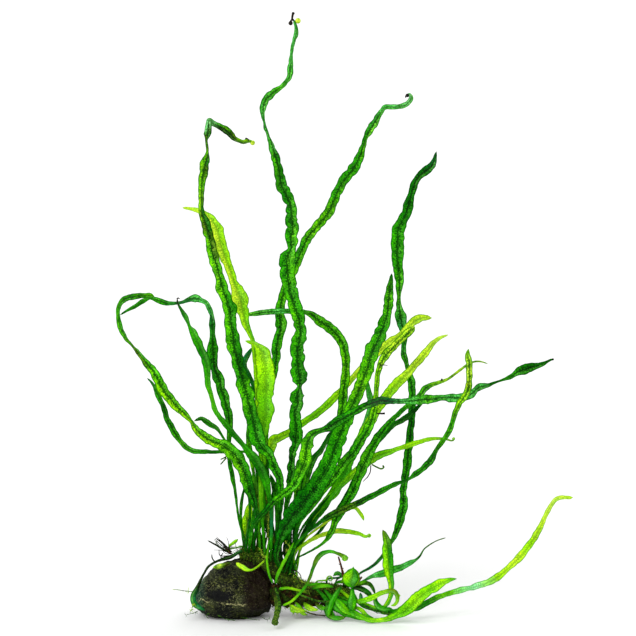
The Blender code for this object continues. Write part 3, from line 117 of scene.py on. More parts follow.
# name: (slot, (place along the rhizome, angle round it), route from the foot to the tip)
# A route's points are (across, up, depth, half width, turn), and a turn of 0 is left out.
FRONDS = {
    "frond_tall_middle": (MATURE, (0.37, 12), [
        (25.5, 52, -6, 1.1), (28, 64.5, -8, 2), (27.7, 67.5, -8.5, 2.2), (28.4, 70.5, -8.8, 1.6),
        (27.9, 73.5, -9, 2.2), (28.6, 76.5, -9.2, 1.5), (28.6, 80.5, -9.5, 2.1), (30, 84, -9.8, 1.8),
        (30.5, 87, -10, 3.1), (30.4, 93, -10.5, 3.1), (30, 98, -11, 2.9), (29.9, 101.5, -11, 2.7),
        (31.2, 105, -11, 3), (30.8, 109, -11, 3.8), (31.7, 112, -11, 2.8, 20), (32.2, 114.5, -11, 2.2),
        (32.4, 117, -11, 3.6), (31.6, 122.5, -11, 3), (31.2, 130, -10, 3.8), (31.8, 135, -10, 3.7),
        (32.8, 141, -9.5, 2.7), (31.7, 147, -9, 3), (30.4, 152, -8.5, 2.9), (28.6, 157.5, -8, 3.1),
        (26.8, 163, -7, 3.4), (26.2, 169, -6.5, 3.6), (26, 176, -5.5, 4.2), (26.8, 180.3, -5, 3.7),
        (28.3, 183, -4.5, 2.7), (28.1, 188, -4, 3.3), (28.8, 193, -3.5, 2.6), (28.3, 197.5, -3, 3),
        (28.4, 201, -2, 2.6), (27.9, 205, -1.3, 2.3), (25.5, 210, -0.5, 3), (23.4, 215, 0.5, 2.7),
        (21.2, 225, 2, 2.1), (19.8, 230, 3, 2), (18.2, 235.5, 4, 1.6, 45), (16.4, 240, 4.5, 1.6, 60),
        (14.9, 245, 5, 1.6, 65), (13.9, 250, 5.5, 1.5, 50), (13.9, 253.5, 6, 1.8, 30),
        (15.3, 257.3, 7, 1.95), (18.5, 260.3, 8, 1.8), (21.5, 262.5, 8.5, 1.35), (24.3, 264.6, 9, 1.1),
        (26.9, 268, 9.7, 1.3), (27.6, 272, 10.4, 1.5), (28, 277, 11.4, 1.1), (28.3, 281, 12, 0.85),
        (29.3, 286, 13.4, 0.9), (30.5, 290, 14.2, 1.1), (30.4, 293.5, 14.8, 0.9), (29.7, 296.2, 15, 0.75),
        (29.4, 297.2, 15, 0.6)]),
    "frond_high_hook": (MATURE, (0.34, -42), [
        (18.5, 45, 6, 0.7), (16, 70, 10, 1.2), (14.8, 92, 13, 1.9), (16.5, 109.5, 15, 2.3),
        (20.4, 126, 16, 2.1), (20.8, 134.5, 16, 2.6), (22.3, 140, 16, 2.4), (23, 144, 16, 2.9),
        (22.4, 150, 16, 2.4), (23.2, 156, 16, 2.2), (25.2, 162.5, 16, 2.4), (28.3, 170.5, 17, 2.6),
        (32.6, 180, 18, 2.4), (36.6, 188.6, 20, 2.2), (42, 194.8, 22, 2.4), (46.8, 201, 24, 2.4),
        (52.7, 214, 27.5, 2.6), (57.3, 220, 29, 2.6), (60.6, 225.2, 30, 2.7), (62.5, 229.2, 30.5, 2.1),
        (64.2, 234, 31, 1.4), (65.6, 238, 31.5, 1.5, 40), (67.6, 242.2, 32, 2.1), (70.3, 246.5, 33, 1.9),
        (72.4, 250, 33.5, 1.4), (74.7, 253.2, 34, 1.4), (78.5, 253.7, 34, 1.35), (83, 253.9, 33.5, 1.3),
        (86.2, 255.3, 33, 1.4), (88, 257.8, 32.3, 1.15), (87.2, 259.7, 31.7, 0.8),
        (85.7, 259.6, 31.2, 0.5)]),
    "frond_folded_tip": (MATURE, (0.33, 42), [
        (22.5, 47, -9, 0.8), (23, 58, -13, 1.5), (22.3, 67, -16, 1.9), (19.7, 73, -17, 2.2),
        (17.2, 79.5, -18, 2.3), (13.5, 83.5, -18, 3), (10.6, 88.5, -18, 3.9), (9.8, 94, -18, 3.3),
        (8.3, 100, -18, 3.4), (7, 105, -18, 3.4), (6.2, 109, -18, 3.6), (4.9, 113, -18, 3.5),
        (3.3, 118.5, -18, 2.9), (1.8, 124, -18, 2.9), (0.3, 130.5, -18, 3.4), (-0.9, 137, -18, 3.5),
        (-1.9, 143.5, -18, 3.1), (-2.5, 148.5, -18, 3), (-3.2, 152.5, -17.6, 3.3), (-4.3, 156.5, -17, 2.6),
        (-5.6, 160.5, -16.5, 3.2), (-6.5, 164, -16, 2.9), (-7.7, 169, -15.2, 2.3), (-9.3, 175, -14, 2.5),
        (-11, 180, -12.7, 2.7), (-12, 185, -11.8, 2.5), (-13.6, 190.5, -10.8, 2.4), (-14.7, 195, -10, 2.3),
        (-16.5, 200, -8.5, 1.6), (-17, 205.5, -7, 1.35), (-16.9, 212, -5.3, 1.6), (-16.2, 219, -4, 2),
        (-15, 225, -2.6, 2.3), (-13.9, 229, -1.6, 1.8, 25), (-13.5, 232.5, -0.8, 1.6, 60),
        (-14.2, 237.5, 0.5, 1.5, 55), (-13.7, 240.5, 1.1, 1.9), (-13.4, 244, 2, 1.6), (-12.9, 247, 3, 1.2),
        (-10.6, 245.2, 5, 1.3), (-7.8, 243.8, 6, 1.6), (-4.8, 242.4, 7, 1.75), (-2.2, 240, 7.7, 1.65),
        (0.3, 237.5, 9, 1.2), (3.5, 236.1, 10, 1.1), (6.8, 236.4, 11, 1), (9.3, 236, 11.5, 0.45)]),
    "frond_lime_narrow": (YOUNG, (0.24, 4), [
        (15.5, 47, -2.5, 0.65), (14, 66, -3.5, 0.8), (12, 104, -5, 1.6), (10, 128, -6, 1.2),
        (8.6, 137, -6, 1.1), (7.2, 140.5, -6, 1.3), (5.4, 145, -6, 1.9), (4.1, 150.5, -6.3, 2.8),
        (2.8, 155.5, -6.7, 3.9), (2, 159.7, -7, 3.7), (-0.2, 165, -6.6, 2.3), (-2, 170.5, -6, 2),
        (-4.1, 176, -5.5, 2.4), (-6, 181.5, -5, 2.8), (-7.6, 187, -4, 3.1), (-9.2, 192.3, -2.8, 2.9),
        (-11.6, 196.8, -1.3, 2.3), (-15, 199.9, 0, 1.6), (-20, 202.2, 1.2, 1.1), (-26.3, 203.2, 2, 0.5)]),
    "frond_dark_short": (DARK, (0.24, -28), [
        (14.5, 60, 2.5, 0.6), (12.5, 85, 3.5, 1.2), (11.5, 106, 3, 1.6, 10), (8.5, 116, 1.5, 1.2, 20),
        (5, 124.5, 0, 1.2, 30), (6, 129, 0, 1.4), (9, 133.5, 0, 0.4)]),
    "frond_lime_broad": (YOUNG, (0.21, 38), [
        (13.8, 45, -7, 0.8), (13, 62, -9.5, 1.2), (13.7, 78, -11, 1.8), (13.7, 91, -12, 2.9),
        (15.3, 103, -14, 4.6), (15.3, 109, -14, 4.2), (15.4, 116, -14, 4.2), (15.3, 121, -13.5, 4.6),
        (14.6, 127, -12.8, 4.1), (13.4, 131.5, -11.5, 3.3), (10, 134.9, -10.3, 1.6), (5, 136.6, -9, 0.4)]),
    "frond_arch": (MATURE, (0.41, -8), [
        (30.8, 48, 1.5, 1), (38.5, 62, 4, 1.3), (45, 74.5, 6, 1.7), (49.5, 86, 7, 1.9),
        (52.7, 98, 8, 2.1, 15), (54.5, 113, 8, 2.3), (55.4, 123, 8, 2.2), (55.2, 129.5, 8, 2.3),
        (54.2, 134.5, 8, 2.4), (51.8, 138.8, 7.3, 2.4), (48.5, 142.3, 6.6, 2.4), (44.8, 144.8, 6, 2.6),
        (41.3, 147.2, 5.2, 2.3), (38.3, 149.6, 4.5, 1.6), (34.5, 151, 4, 1.3), (28, 151.4, 3.5, 1.4),
        (20, 151.3, 3.5, 1.45), (14, 150.9, 3, 1.4), (9, 150.1, 2.5, 1.2), (4.5, 149.6, 2, 0.5)]),
    "frond_broad_front": (MATURE, (0.37, 68), [
        (20.7, 27.5, -11, 1.4), (21.6, 34, -13, 1.9), (24, 41.5, -17, 3.1), (28.5, 48.5, -21, 4.3),
        (34, 55.5, -23, 4.8), (40.5, 64, -24, 4.6), (46.5, 74.5, -24, 4.2), (51.5, 87, -23, 3.9),
        (57.5, 102, -22, 3.1), (62.5, 113, -24, 3.1, 12), (66.8, 125.5, -27, 3.5), (68.3, 130.5, -28, 3.4),
        (71.4, 137, -30, 3.1), (73.2, 141.5, -31, 2.9), (75, 146, -32, 2.6), (76.2, 150.5, -33.3, 2.2),
        (76.7, 154.5, -34.5, 2.3), (77, 159, -36, 2.1), (77.5, 163, -37, 1.7), (78, 166.8, -37.6, 1.1),
        (78.4, 170.3, -38, 0.5)]),
    "frond_tall_back": (MATURE, (0.965, -48), [
        (62, 19.8, 9, 0.5), (67.6, 23.2, 12.5, 0.7), (72, 27, 15, 0.9), (77.2, 34.5, 20, 1),
        (79.5, 38.7, 21.5, 1.3), (80.9, 42, 23, 1.7), (82, 45.2, 24, 1.9), (83.2, 49.5, 25, 2.1),
        (84.5, 54.5, 25.5, 2.2), (84.2, 60, 26, 2, 20), (84.8, 66, 26.4, 1.8), (86.1, 76, 27, 2.1),
        (86.7, 81, 27.4, 2.2), (87.8, 91, 28, 1.9), (88.3, 99, 28.5, 1.8), (88.6, 110, 29, 1.9),
        (88.2, 115.5, 30, 2.1), (87, 121, 30.5, 1.4), (85.6, 125.5, 31, 1.5, 40), (84.5, 129.7, 31, 1.7),
        (84.3, 133.5, 31, 1.3), (84.9, 137.7, 31, 1.5), (84.4, 142.3, 31.5, 2), (83.2, 146, 32, 2.7),
        (82.3, 149.3, 32, 3), (82.2, 152.7, 32, 1.7), (82.2, 156.5, 32.5, 1.6, 45),
        (82.3, 160.5, 32.5, 1.7, 40), (82.4, 166, 33, 2.3), (81.8, 171, 33, 2.5), (81.2, 177, 33.5, 2.9),
        (81.1, 181.5, 34, 3.25), (80.9, 186, 34, 3.6), (81.3, 190.3, 34, 3.4), (82.8, 194.5, 34, 3),
        (85.1, 199.5, 34, 2.7), (86.5, 204, 34, 2.5), (88, 209, 34, 2), (89.4, 213.5, 34, 2.1),
        (90.7, 217, 33.5, 1.8), (92.8, 219.8, 33, 1.9), (95.7, 221.9, 32.5, 2.2), (98.3, 224.4, 32, 1.9),
        (99.8, 227.7, 31.5, 1.2), (100.7, 231.4, 31, 0.3)]),
    "frond_dotted": (MATURE, (0.4, 28), [
        (31.5, 43.5, -5, 0.9), (38.5, 54, -8, 1.3), (48, 66.5, -9, 2), (55, 76, -8, 2.6),
        (60.5, 83, -6, 2.5), (67.5, 95, -1, 2), (70.3, 107, 3.4, 1.4), (70.9, 116.5, 5, 1.3),
        (72, 122.8, 6.5, 1.5), (74.3, 128, 8, 2), (78, 132.5, 8.5, 2), (82.5, 136.8, 9, 1.9),
        (86.8, 140.8, 9.7, 2.1), (89, 142.7, 10, 1.4), (90, 143.8, 10, 0.5)]),
    "frond_teal_back": (TEAL, (0.42, -62), [
        (33, 42, 6.5, 0.6), (47, 60, 9, 0.8), (57, 78, 11, 1), (64, 93, 15, 1.2), (67.5, 104, 16, 1.4),
        (66.8, 112, 14, 1.4), (65.5, 118, 12, 0.4)]),
    "frond_lime_right": (YOUNG, (0.405, -45), [
        (34.5, 40, 3, 0.8), (43, 53.5, 4, 1.6), (50.5, 62, 4, 2.4), (55.5, 72, 4, 2.7), (61, 84, 7, 2.4),
        (68.5, 97.5, 14, 2.4), (77.5, 111.4, 15.3, 2.5), (81, 115.4, 16.3, 2.4), (84, 118.5, 17, 2.4),
        (87.2, 121.2, 17.8, 2.1), (92, 126.8, 19, 2.2), (94.9, 130.3, 19.5, 2), (97.4, 133.6, 20, 1.7),
        (100.2, 136.6, 20.3, 1.2), (103, 138.3, 20.7, 0.9), (106.7, 139.7, 21, 0.35)]),
    "frond_bent_right": (MATURE, (0.1, 62), [
        (7.6, 37, -12, 0.8), (8.3, 42, -14.5, 1), (10.7, 46.7, -17.5, 1.2), (15.2, 51.7, -20, 1.5),
        (19.6, 56.3, -22, 1.7), (24.8, 60.6, -24, 1.8), (28.5, 63.2, -25, 1.9), (30.9, 66.5, -26, 2.4),
        (33, 71.5, -27, 2.7), (34.3, 76, -27.5, 3), (35.2, 81, -28, 3.1), (36.2, 85.5, -28.6, 3),
        (38.2, 89.3, -29.6, 2), (42, 91.3, -30.6, 1.5), (46, 92.8, -31.4, 1.9), (50, 95.6, -32, 2.2),
        (57, 99.5, -32, 2), (65, 104, -30, 1.8), (73, 106.7, -20, 1.9), (83.5, 106.2, -10, 1.3),
        (91.5, 106.8, -6, 2.4), (95.5, 107.3, -4, 2.3), (100, 107.6, -2, 1.9), (104, 108.2, -1, 1.5),
        (107.7, 108, 0, 2.1), (112, 107.8, 0.6, 2.2), (115.5, 108.6, 1, 2.1), (118.2, 110, 2, 1.9),
        (120.3, 112, 3, 1.5), (122.2, 113.6, 3.6, 1.9), (124.2, 114, 4, 1.8), (126.7, 114.4, 4.7, 1.1),
        (129.4, 115.5, 5.3, 0.75), (132.4, 116.6, 6, 0.6), (135.4, 117.7, 6.5, 0.9), (138.1, 118.8, 7, 1.5),
        (139.8, 119.8, 7.4, 1.5), (142, 121.4, 8, 2.1), (145.2, 122.3, 9, 2.5), (148, 123.4, 9.8, 2.2),
        (150.2, 124, 10.3, 1.8), (152.9, 124.7, 11, 1.3), (155.6, 125.9, 11.5, 0.8),
        (158.2, 127.2, 12, 0.6), (159.4, 127.5, 12, 0.4)]),
    "frond_creased": (DARK, (0.42, 50), [
        (33.5, 56, -13, 0.9), (36, 68, -17, 1.5), (39, 77, -19, 1.6), (43.5, 82.7, -18, 1.3, 20),
        (46.5, 88, -15, 1.1, 10), (52.5, 97, -10, 0.4)]),
    "frond_lime_long": (YOUNG, (0.17, -42), [
        (14.5, 47, 6, 0.65), (15.5, 70, 6.5, 0.9), (18.6, 86, 6.5, 2.7), (22.5, 88.5, 7, 2),
        (27.3, 90.8, 8, 1.9), (33.5, 95.2, 10, 1.8), (40, 99.7, 12, 1.8), (45.5, 104.2, 13.5, 1.9),
        (50, 108.5, 14.5, 1.9), (54.5, 113.3, 15.3, 1.7), (63, 122.5, 17, 1.6), (72.5, 131.8, 19, 1.9),
        (77, 136, 20, 1.8), (81.5, 138.8, 21, 1.6), (84.6, 141.2, 22, 1.7), (87.3, 144.3, 22.5, 2),
        (90, 146.6, 23, 2.1), (92.7, 147.9, 23.3, 2.2), (95.7, 148.1, 23.7, 1.5), (98.5, 148, 24, 0.35)]),
    "frond_thread_tip": (MATURE, (0.45, 42), [
        (31, 27.5, -6, 0.45), (35.5, 30.3, -8, 0.5), (40, 32.7, -9, 0.6), (44, 35.4, -10, 0.8),
        (46.8, 38.8, -11, 1.3), (49, 43, -11, 1.5), (50.2, 46.5, -11, 2), (53, 51.5, -11, 2.1),
        (59, 62, -10, 2.3), (65, 76, -6, 2.9), (71, 87.5, 0, 2.1), (79, 97.5, 4, 1.4), (89, 106.3, 9, 1.3),
        (93, 109.7, 9, 1.6), (95.7, 113, 9, 1.7), (98.7, 114.7, 8.5, 1.2), (102, 115.8, 8, 1),
        (105.5, 117, 7.3, 0.8), (109, 119.3, 6.8, 0.7), (113, 122.3, 6.3, 0.7), (116, 124.6, 6, 0.6),
        (119.5, 126.2, 5.3, 0.5), (123, 126.2, 5, 0.4), (126.5, 125, 5, 0.3)]),
    "frond_thin_dark": (DARK, (0.435, 12), [
        (33, 33, 0.5, 0.5), (38, 37.3, 0.5, 0.6), (41.8, 40.6, 0, 0.7), (44.3, 44, -1, 0.9),
        (48, 49, -2, 0.8), (52, 53.7, -2, 0.7), (61, 70, -1.5, 0.8), (68.5, 82, 3, 1), (79, 94.3, 10, 1.3),
        (86, 98.5, 12, 1.5), (95, 107, 14, 0.4)]),
    "frond_upturned": (YOUNG, (0.385, 62), [
        (31, 35.5, -12, 0.7), (42, 45.5, -16, 1), (48.5, 49.5, -17, 1.8), (58.5, 54, -17, 1.6),
        (63.4, 56.3, -16.5, 1.6), (67.9, 58.7, -15.7, 1.5), (71.5, 60.4, -15, 1.5), (76, 63, -14, 1.4),
        (80.4, 65.1, -13, 1.1), (84.9, 66.5, -12, 0.8), (87.4, 67.8, -11.7, 0.8), (90.3, 70, -11, 1.5),
        (94, 72.8, -10.4, 1.4), (98, 77, -10, 1.7), (100, 81, -10, 1.2), (103.8, 86.4, -10, 1.2),
        (107.3, 91.8, -10, 1.4), (108.8, 96, -10, 1.3), (110, 100.5, -10, 1.4), (112, 105, -10, 1.5),
        (114.8, 108.8, -10, 1.6), (116.3, 112, -10.3, 1.7), (117.1, 116, -11, 1.6),
        (117.2, 120.7, -11.9, 1.6), (117, 125.5, -12.8, 1.7), (116.3, 129.7, -13.5, 1.2),
        (116.8, 132.7, -14, 0.35)]),
    "frond_lime_curl": (YOUNG, (0.44, -20), [
        (36, 41.5, 1.5, 0.8), (43.5, 51.5, -2, 1.2), (51, 62, -2, 1.3), (60, 71, 2, 1.7),
        (67, 76.3, 2.5, 2.1), (71, 78.9, 2.8, 2.1), (76.5, 80.8, 3, 1.7), (81.3, 82.6, 2.6, 1.2),
        (87.5, 84.5, 2, 1.4), (95.5, 87.1, 1.2, 1.1), (100, 87.8, 0.7, 0.8), (105, 87.5, 0, 0.6),
        (109, 86.7, 0, 0.45), (109.6, 88.6, 0, 0.3)]),
    "frond_young_tip": (YOUNG, (0.465, 6), [
        (34, 36, -2, 0.5), (43, 44, -3.5, 0.6), (54, 51, -6.5, 0.7), (59.8, 53, -7.5, 0.8),
        (62.2, 51, -8, 1), (63.6, 48.8, -8.3, 0.9), (64.5, 46.6, -8.5, 0.4)]),
    "frond_lime_low": (YOUNG, (0.485, 30), [
        (29.5, 30, -3, 0.6), (34, 34.3, -4.5, 0.8), (39, 37.6, -5, 1), (45, 40, -5, 1.1),
        (51.6, 41.6, -5, 1.4), (57, 41.2, -5, 1.2), (62, 40.2, -5, 1), (65.2, 38.8, -5, 0.8),
        (67.7, 39.6, -5, 0.4)]),
    "frond_low_broad": (YOUNG, (0.78, 74), [
        (50.5, 5.2, -10, 1.6), (54.5, 2.5, -15, 2.2), (60, 0.2, -18.5, 1.9), (66.5, -2.6, -20, 1.3),
        (73.5, -3, -20, 1.2), (80, -1, -21, 1.8), (85, 2, -23, 2.7), (90.4, 6.9, -25, 3.2),
        (94.2, 10.2, -25.6, 2.9), (97.8, 12.6, -26, 2.7), (101.1, 14.6, -26, 2.4), (104.5, 16.2, -26, 1.6),
        (108, 17.2, -26, 0.9), (111, 17.6, -26, 0.35)]),
    "frond_low_long": (YOUNG, (0.985, 34), [
        (62.5, 5.2, -8, 0.9), (70, 2.6, -11, 1.3), (80, 1, -13, 1.5), (90, 3, -12, 1.8),
        (98.4, 6.9, -11, 1.5), (101.1, 8.2, -10.5, 1.4), (105.2, 9.8, -9.3, 1.2), (109.2, 10.9, -8.5, 1.3),
        (113.3, 12, -8, 1.5), (117.3, 13, -7.2, 1.3), (120, 13.7, -6.5, 1.6), (124.7, 15, -5.3, 1.6),
        (128.1, 16.5, -4.3, 1.8), (130.8, 18.2, -3.3, 1.8), (134.8, 21.4, -1.8, 1.7), (139, 25.1, 0, 1.7),
        (142.9, 29.2, 1, 1.8), (145.9, 32.8, 2, 1.8), (148.5, 36.7, 2.8, 1.7), (151, 40.4, 3.6, 1.7),
        (153.2, 44.5, 4.4, 1.5), (155, 48.6, 5.3, 1.3), (157, 52.7, 6.3, 1.1), (159.5, 56.5, 7.6, 1.2),
        (161.8, 58, 8.4, 1.2), (165.1, 58.3, 9.3, 1), (167.6, 58.2, 9.8, 0.9), (169, 58.3, 10, 0.5)]),
    "frond_upright_low": (YOUNG, (0.955, 82), [
        (66, 4.6, -15, 0.8), (73.5, 3.2, -18, 0.9), (77.5, 8, -17.5, 1.2), (78.1, 15, -17, 1.5),
        (77.1, 20, -17, 2.3), (76.5, 25.3, -17, 2.7), (76.2, 30, -17, 2.65), (76, 35.5, -17, 2.2),
        (75.2, 39, -17, 1.5), (73.8, 42.2, -17, 0.45)]),
    "frond_loop": (YOUNG, (0.9, 62), [
        (60.5, 6.5, -14, 1.1), (66, 7.2, -18.5, 1.4), (74, 10.8, -21.5, 1.2), (79, 11.4, -22, 1.2),
        (81.3, 8.4, -21.5, 1), (80.2, 5, -21, 0.8), (77.8, 4, -21, 0.4)]),
    "frond_teal_low": (TEAL, (0.95, -2), [
        (63.5, 16.3, 2, 0.5), (68, 18.6, 0, 1), (75, 20.6, -2, 2), (80.9, 22.7, -3, 1.9),
        (84.3, 24.1, -3.4, 1.4), (87.7, 25.7, -3.8, 1.3), (90.3, 27, -4, 0.7), (92.3, 28.8, -4, 0.5),
        (94.4, 32.2, -4, 0.4), (97.5, 34.7, -4, 0.35), (101, 36.7, -4, 0.3), (105.5, 38.2, -4, 0.3)]),
    "leaf_folded": (MATURE, (0.86, 28), [
        (55.5, 17, -5, 1.3), (57, 20.2, -8, 1.4), (59, 21.4, -10, 1.3), (60.8, 19, -12, 1.6),
        (60.2, 15.6, -13, 1.4), (59.4, 13.6, -13, 0.5)]),
    "leaf_teal_small": (TEAL, (0.8, -5), [
        (53, 18.7, 1, 0.6), (51.2, 20.3, 0, 1.1), (49, 18.9, -1, 0.35)]),
    "leaf_dark_arch": (DARK, (0.93, 8), [
        (62.3, 14.7, -3, 0.8), (66.5, 15.4, -4, 1.1), (69, 12.7, -5, 0.9), (70, 9.8, -6, 0.4)]),
    "leaf_dark_flat": (DARK, (0.92, 22), [
        (63.5, 11.8, -5, 0.9), (67, 9.8, -6.5, 1), (69.5, 7.6, -7.5, 0.4)]),
    "leaf_crumpled": (MATURE, (0.7, 70), [
        (46.5, 5.8, -9, 1.4), (47, 3, -12, 2.6), (48, 0, -14.5, 2.8, 20), (50, -1.6, -17, 1)]),
    "leaf_round": (MATURE, (0.84, 90), [
        (56.8, 6.2, -9, 1.9), (58, 4, -11, 2.6), (58, 1.8, -12.5, 1.7), (57.7, 0.8, -13, 0.6)]),
    "leaf_lime_tiny": (YOUNG, (0.03, -35), [
        (-2.3, 32.6, 4.4, 0.35), (-2.9, 33.8, 4.6, 0.5), (-1.2, 35.1, 4.6, 0.8), (0.4, 36.3, 4.6, 0.9),
        (1.6, 37.6, 4.6, 0.4)]),
    "stem_brown": (BROWN, (0.86, -24), [
        (54.2, 19.5, 1, 0.35), (53, 24, 0, 0.35), (51.5, 29, 0, 0.25)]),
    "stalk_old_left": (TEAL, (0.03, 55), [
        (-2.5, 28.3, -4, 0.9), (-8.5, 26.6, -6, 0.7), (-13, 24, -8, 0.6), (-15.7, 20, -10, 0.6),
        (-17.8, 15.5, -11, 0.8), (-20, 11, -12, 1.3), (-21, 8, -12, 1.5), (-19.5, 4.6, -13, 1.4),
        (-15, 1.8, -16, 0.5)]),
    "stalk_mossy": (DARK, (0.3, 22), [
        (16.8, 45, -5, 0.8), (16.6, 56, -6, 0.8), (16.2, 66, -7, 0.4)]),
    "frond_left_broad": (MATURE, (0.13, 38), [
        (11, 48, -13, 1), (9.5, 55.5, -16, 1.6), (7.2, 62.5, -18, 2.7), (4, 72.5, -21, 3.1),
        (0, 79.3, -22, 3.5), (-6, 84.3, -23, 2.9), (-11, 86.2, -23.5, 2.5), (-15.5, 88.9, -24, 2.3),
        (-19.3, 92.2, -24, 1.7), (-21.9, 95.9, -24, 1.2, 30), (-25.2, 99.9, -24, 1.6),
        (-29.1, 103.3, -24, 2.1), (-32.3, 107.4, -24, 2.4), (-35.9, 111.8, -23, 2.4),
        (-38.4, 116.8, -22, 2.3), (-40.8, 121.2, -21, 2.1), (-43.8, 124.9, -19.5, 1.8),
        (-46.6, 128.3, -18, 1.3), (-49.6, 132, -17, 1.5, 50), (-52.4, 135.8, -16, 1.5, 60),
        (-54.9, 138.6, -15.3, 1.3, 20), (-57.1, 143, -14.3, 1.3), (-58.3, 147.5, -12.7, 1.1),
        (-58.6, 151.5, -11, 1.1), (-57.7, 154.7, -9.5, 1.2), (-55.4, 157.2, -8, 1.4),
        (-51, 158.5, -5.3, 1.5), (-46.5, 159.2, -3.4, 1.3), (-42.5, 159.1, -2.3, 1.25),
        (-40.2, 158.6, -2, 0.6)]),
    "frond_left_tall": (MATURE, (0.07, 18), [
        (2, 47, -4, 0.55), (0, 62, -5.5, 0.8), (-1.5, 69.5, -6, 1.2), (-3.4, 82, -6, 0.9),
        (-2.6, 92, -6, 1.5), (-3.2, 100, -6, 2.1), (-4.8, 105, -6, 2.3), (-5.4, 108.5, -5.6, 2.6),
        (-7.2, 113, -5, 2.2), (-7.7, 116.3, -4.7, 2.8), (-9.3, 120, -4.2, 2.4), (-10.4, 123.5, -3.8, 1.8),
        (-11, 128.5, -3.3, 2.6), (-11.2, 133, -2.9, 2.7), (-11.3, 137.3, -2.4, 1.8), (-11.2, 141, -2, 1.3),
        (-11.4, 145.5, -1.5, 1.6), (-11.6, 149.3, -1, 1.1), (-13, 153.2, 0.8, 1.3), (-14.3, 155.5, 2, 1.2),
        (-17, 156.9, 3, 1.3), (-20, 157.8, 4, 2), (-23, 157.2, 5, 1.3), (-26, 156, 5.7, 0.9),
        (-28.7, 155.5, 6.2, 0.8), (-32, 155.3, 7.2, 1), (-35, 155.6, 8, 1.3), (-38, 156.6, 8.6, 1.4),
        (-40.5, 157.6, 9, 1.1), (-42.8, 157.9, 9.3, 0.8), (-46, 156.3, 9.8, 1.2), (-50, 153.9, 10.3, 1),
        (-54, 151.7, 10.7, 0.7), (-57.5, 149.5, 11, 0.35)]),
    "frond_left_straight": (YOUNG, (0.26, 62), [
        (18.3, 49.5, -10, 1), (17, 59.5, -12, 1.4), (14, 70, -14, 2.4), (10, 77, -15, 2.4),
        (4, 84.7, -14.5, 1.3), (-1.5, 91, -13.5, 1.5), (-9.1, 100.5, -13, 1.3), (-11.2, 106.5, -12.4, 1.2),
        (-12.2, 110.5, -12, 1.2), (-13.5, 115, -11.6, 1.5), (-13.8, 121, -11, 1.6), (-15, 128, -11, 2.1),
        (-17.3, 133, -10.3, 1.9), (-19.5, 137.5, -10, 2.1), (-20.9, 140.8, -9.6, 1.9),
        (-22.5, 143.8, -9.2, 1.2, 50), (-23.7, 146.3, -8.7, 1, 30), (-25.2, 149.3, -7.9, 1.3),
        (-27.2, 152.6, -6.7, 0.7), (-28.5, 155.3, -5.7, 0.5), (-29, 157.7, -5, 0.5)]),
    "frond_left_low": (YOUNG, (0.16, -12), [
        (11, 46, 1, 0.6), (11.2, 66, 0, 0.6), (8, 79.5, 0.5, 0.6), (-3, 81, 1, 0.7), (-12.5, 81, 3, 1),
        (-22, 82, 6, 1.3), (-28.5, 88, 8, 1.5), (-34, 97.5, 9, 1.6), (-34.9, 100.5, 9.4, 1.5),
        (-35.8, 103.5, 9.7, 1.4), (-37, 106.5, 10, 1.4), (-38.7, 110, 10.5, 1.3), (-40.4, 113.8, 11, 0.9),
        (-42, 116.2, 11, 0.6), (-44, 118, 11, 0.35)]),
    "frond_left_small": (DARK, (0.07, 50), [
        (7.5, 50, -8, 0.6), (5.5, 66, -10, 0.6), (1, 78, -12, 0.6), (-5.8, 88, -13, 0.6),
        (-7.7, 91.1, -13.4, 0.8), (-9.6, 93.2, -13.9, 1.1), (-12.2, 94.7, -14.3, 1.3),
        (-14.4, 96.2, -14.8, 1.3), (-16.8, 97.8, -15.4, 1.1), (-18.8, 97.2, -15.8, 0.7),
        (-20.5, 96.4, -16, 0.35)]),
    "frond_lime_foot": (YOUNG, (0.11, -35), [
        (6.2, 35, 1.8, 1), (5.7, 38, 2.2, 1.8), (5.6, 42, 2.5, 2.5), (6, 46, 2.8, 2.6), (6.8, 50, 3, 2.2),
        (8.3, 57, 3, 1.2), (10, 64.5, 3, 0.4)]),
    "frond_thin_foot": (MATURE, (0.04, -10), [
        (3, 46, -0.5, 0.7), (3.1, 55, -0.5, 0.8), (5, 64.5, -0.5, 0.35)]),
    "frond_dotted_foot": (YOUNG, (0.17, 18), [
        (11.4, 49.5, -4, 1), (10.9, 57, -5, 1.7), (9.8, 64.5, -5, 1.7), (9, 71, -6, 0.4)]),
}

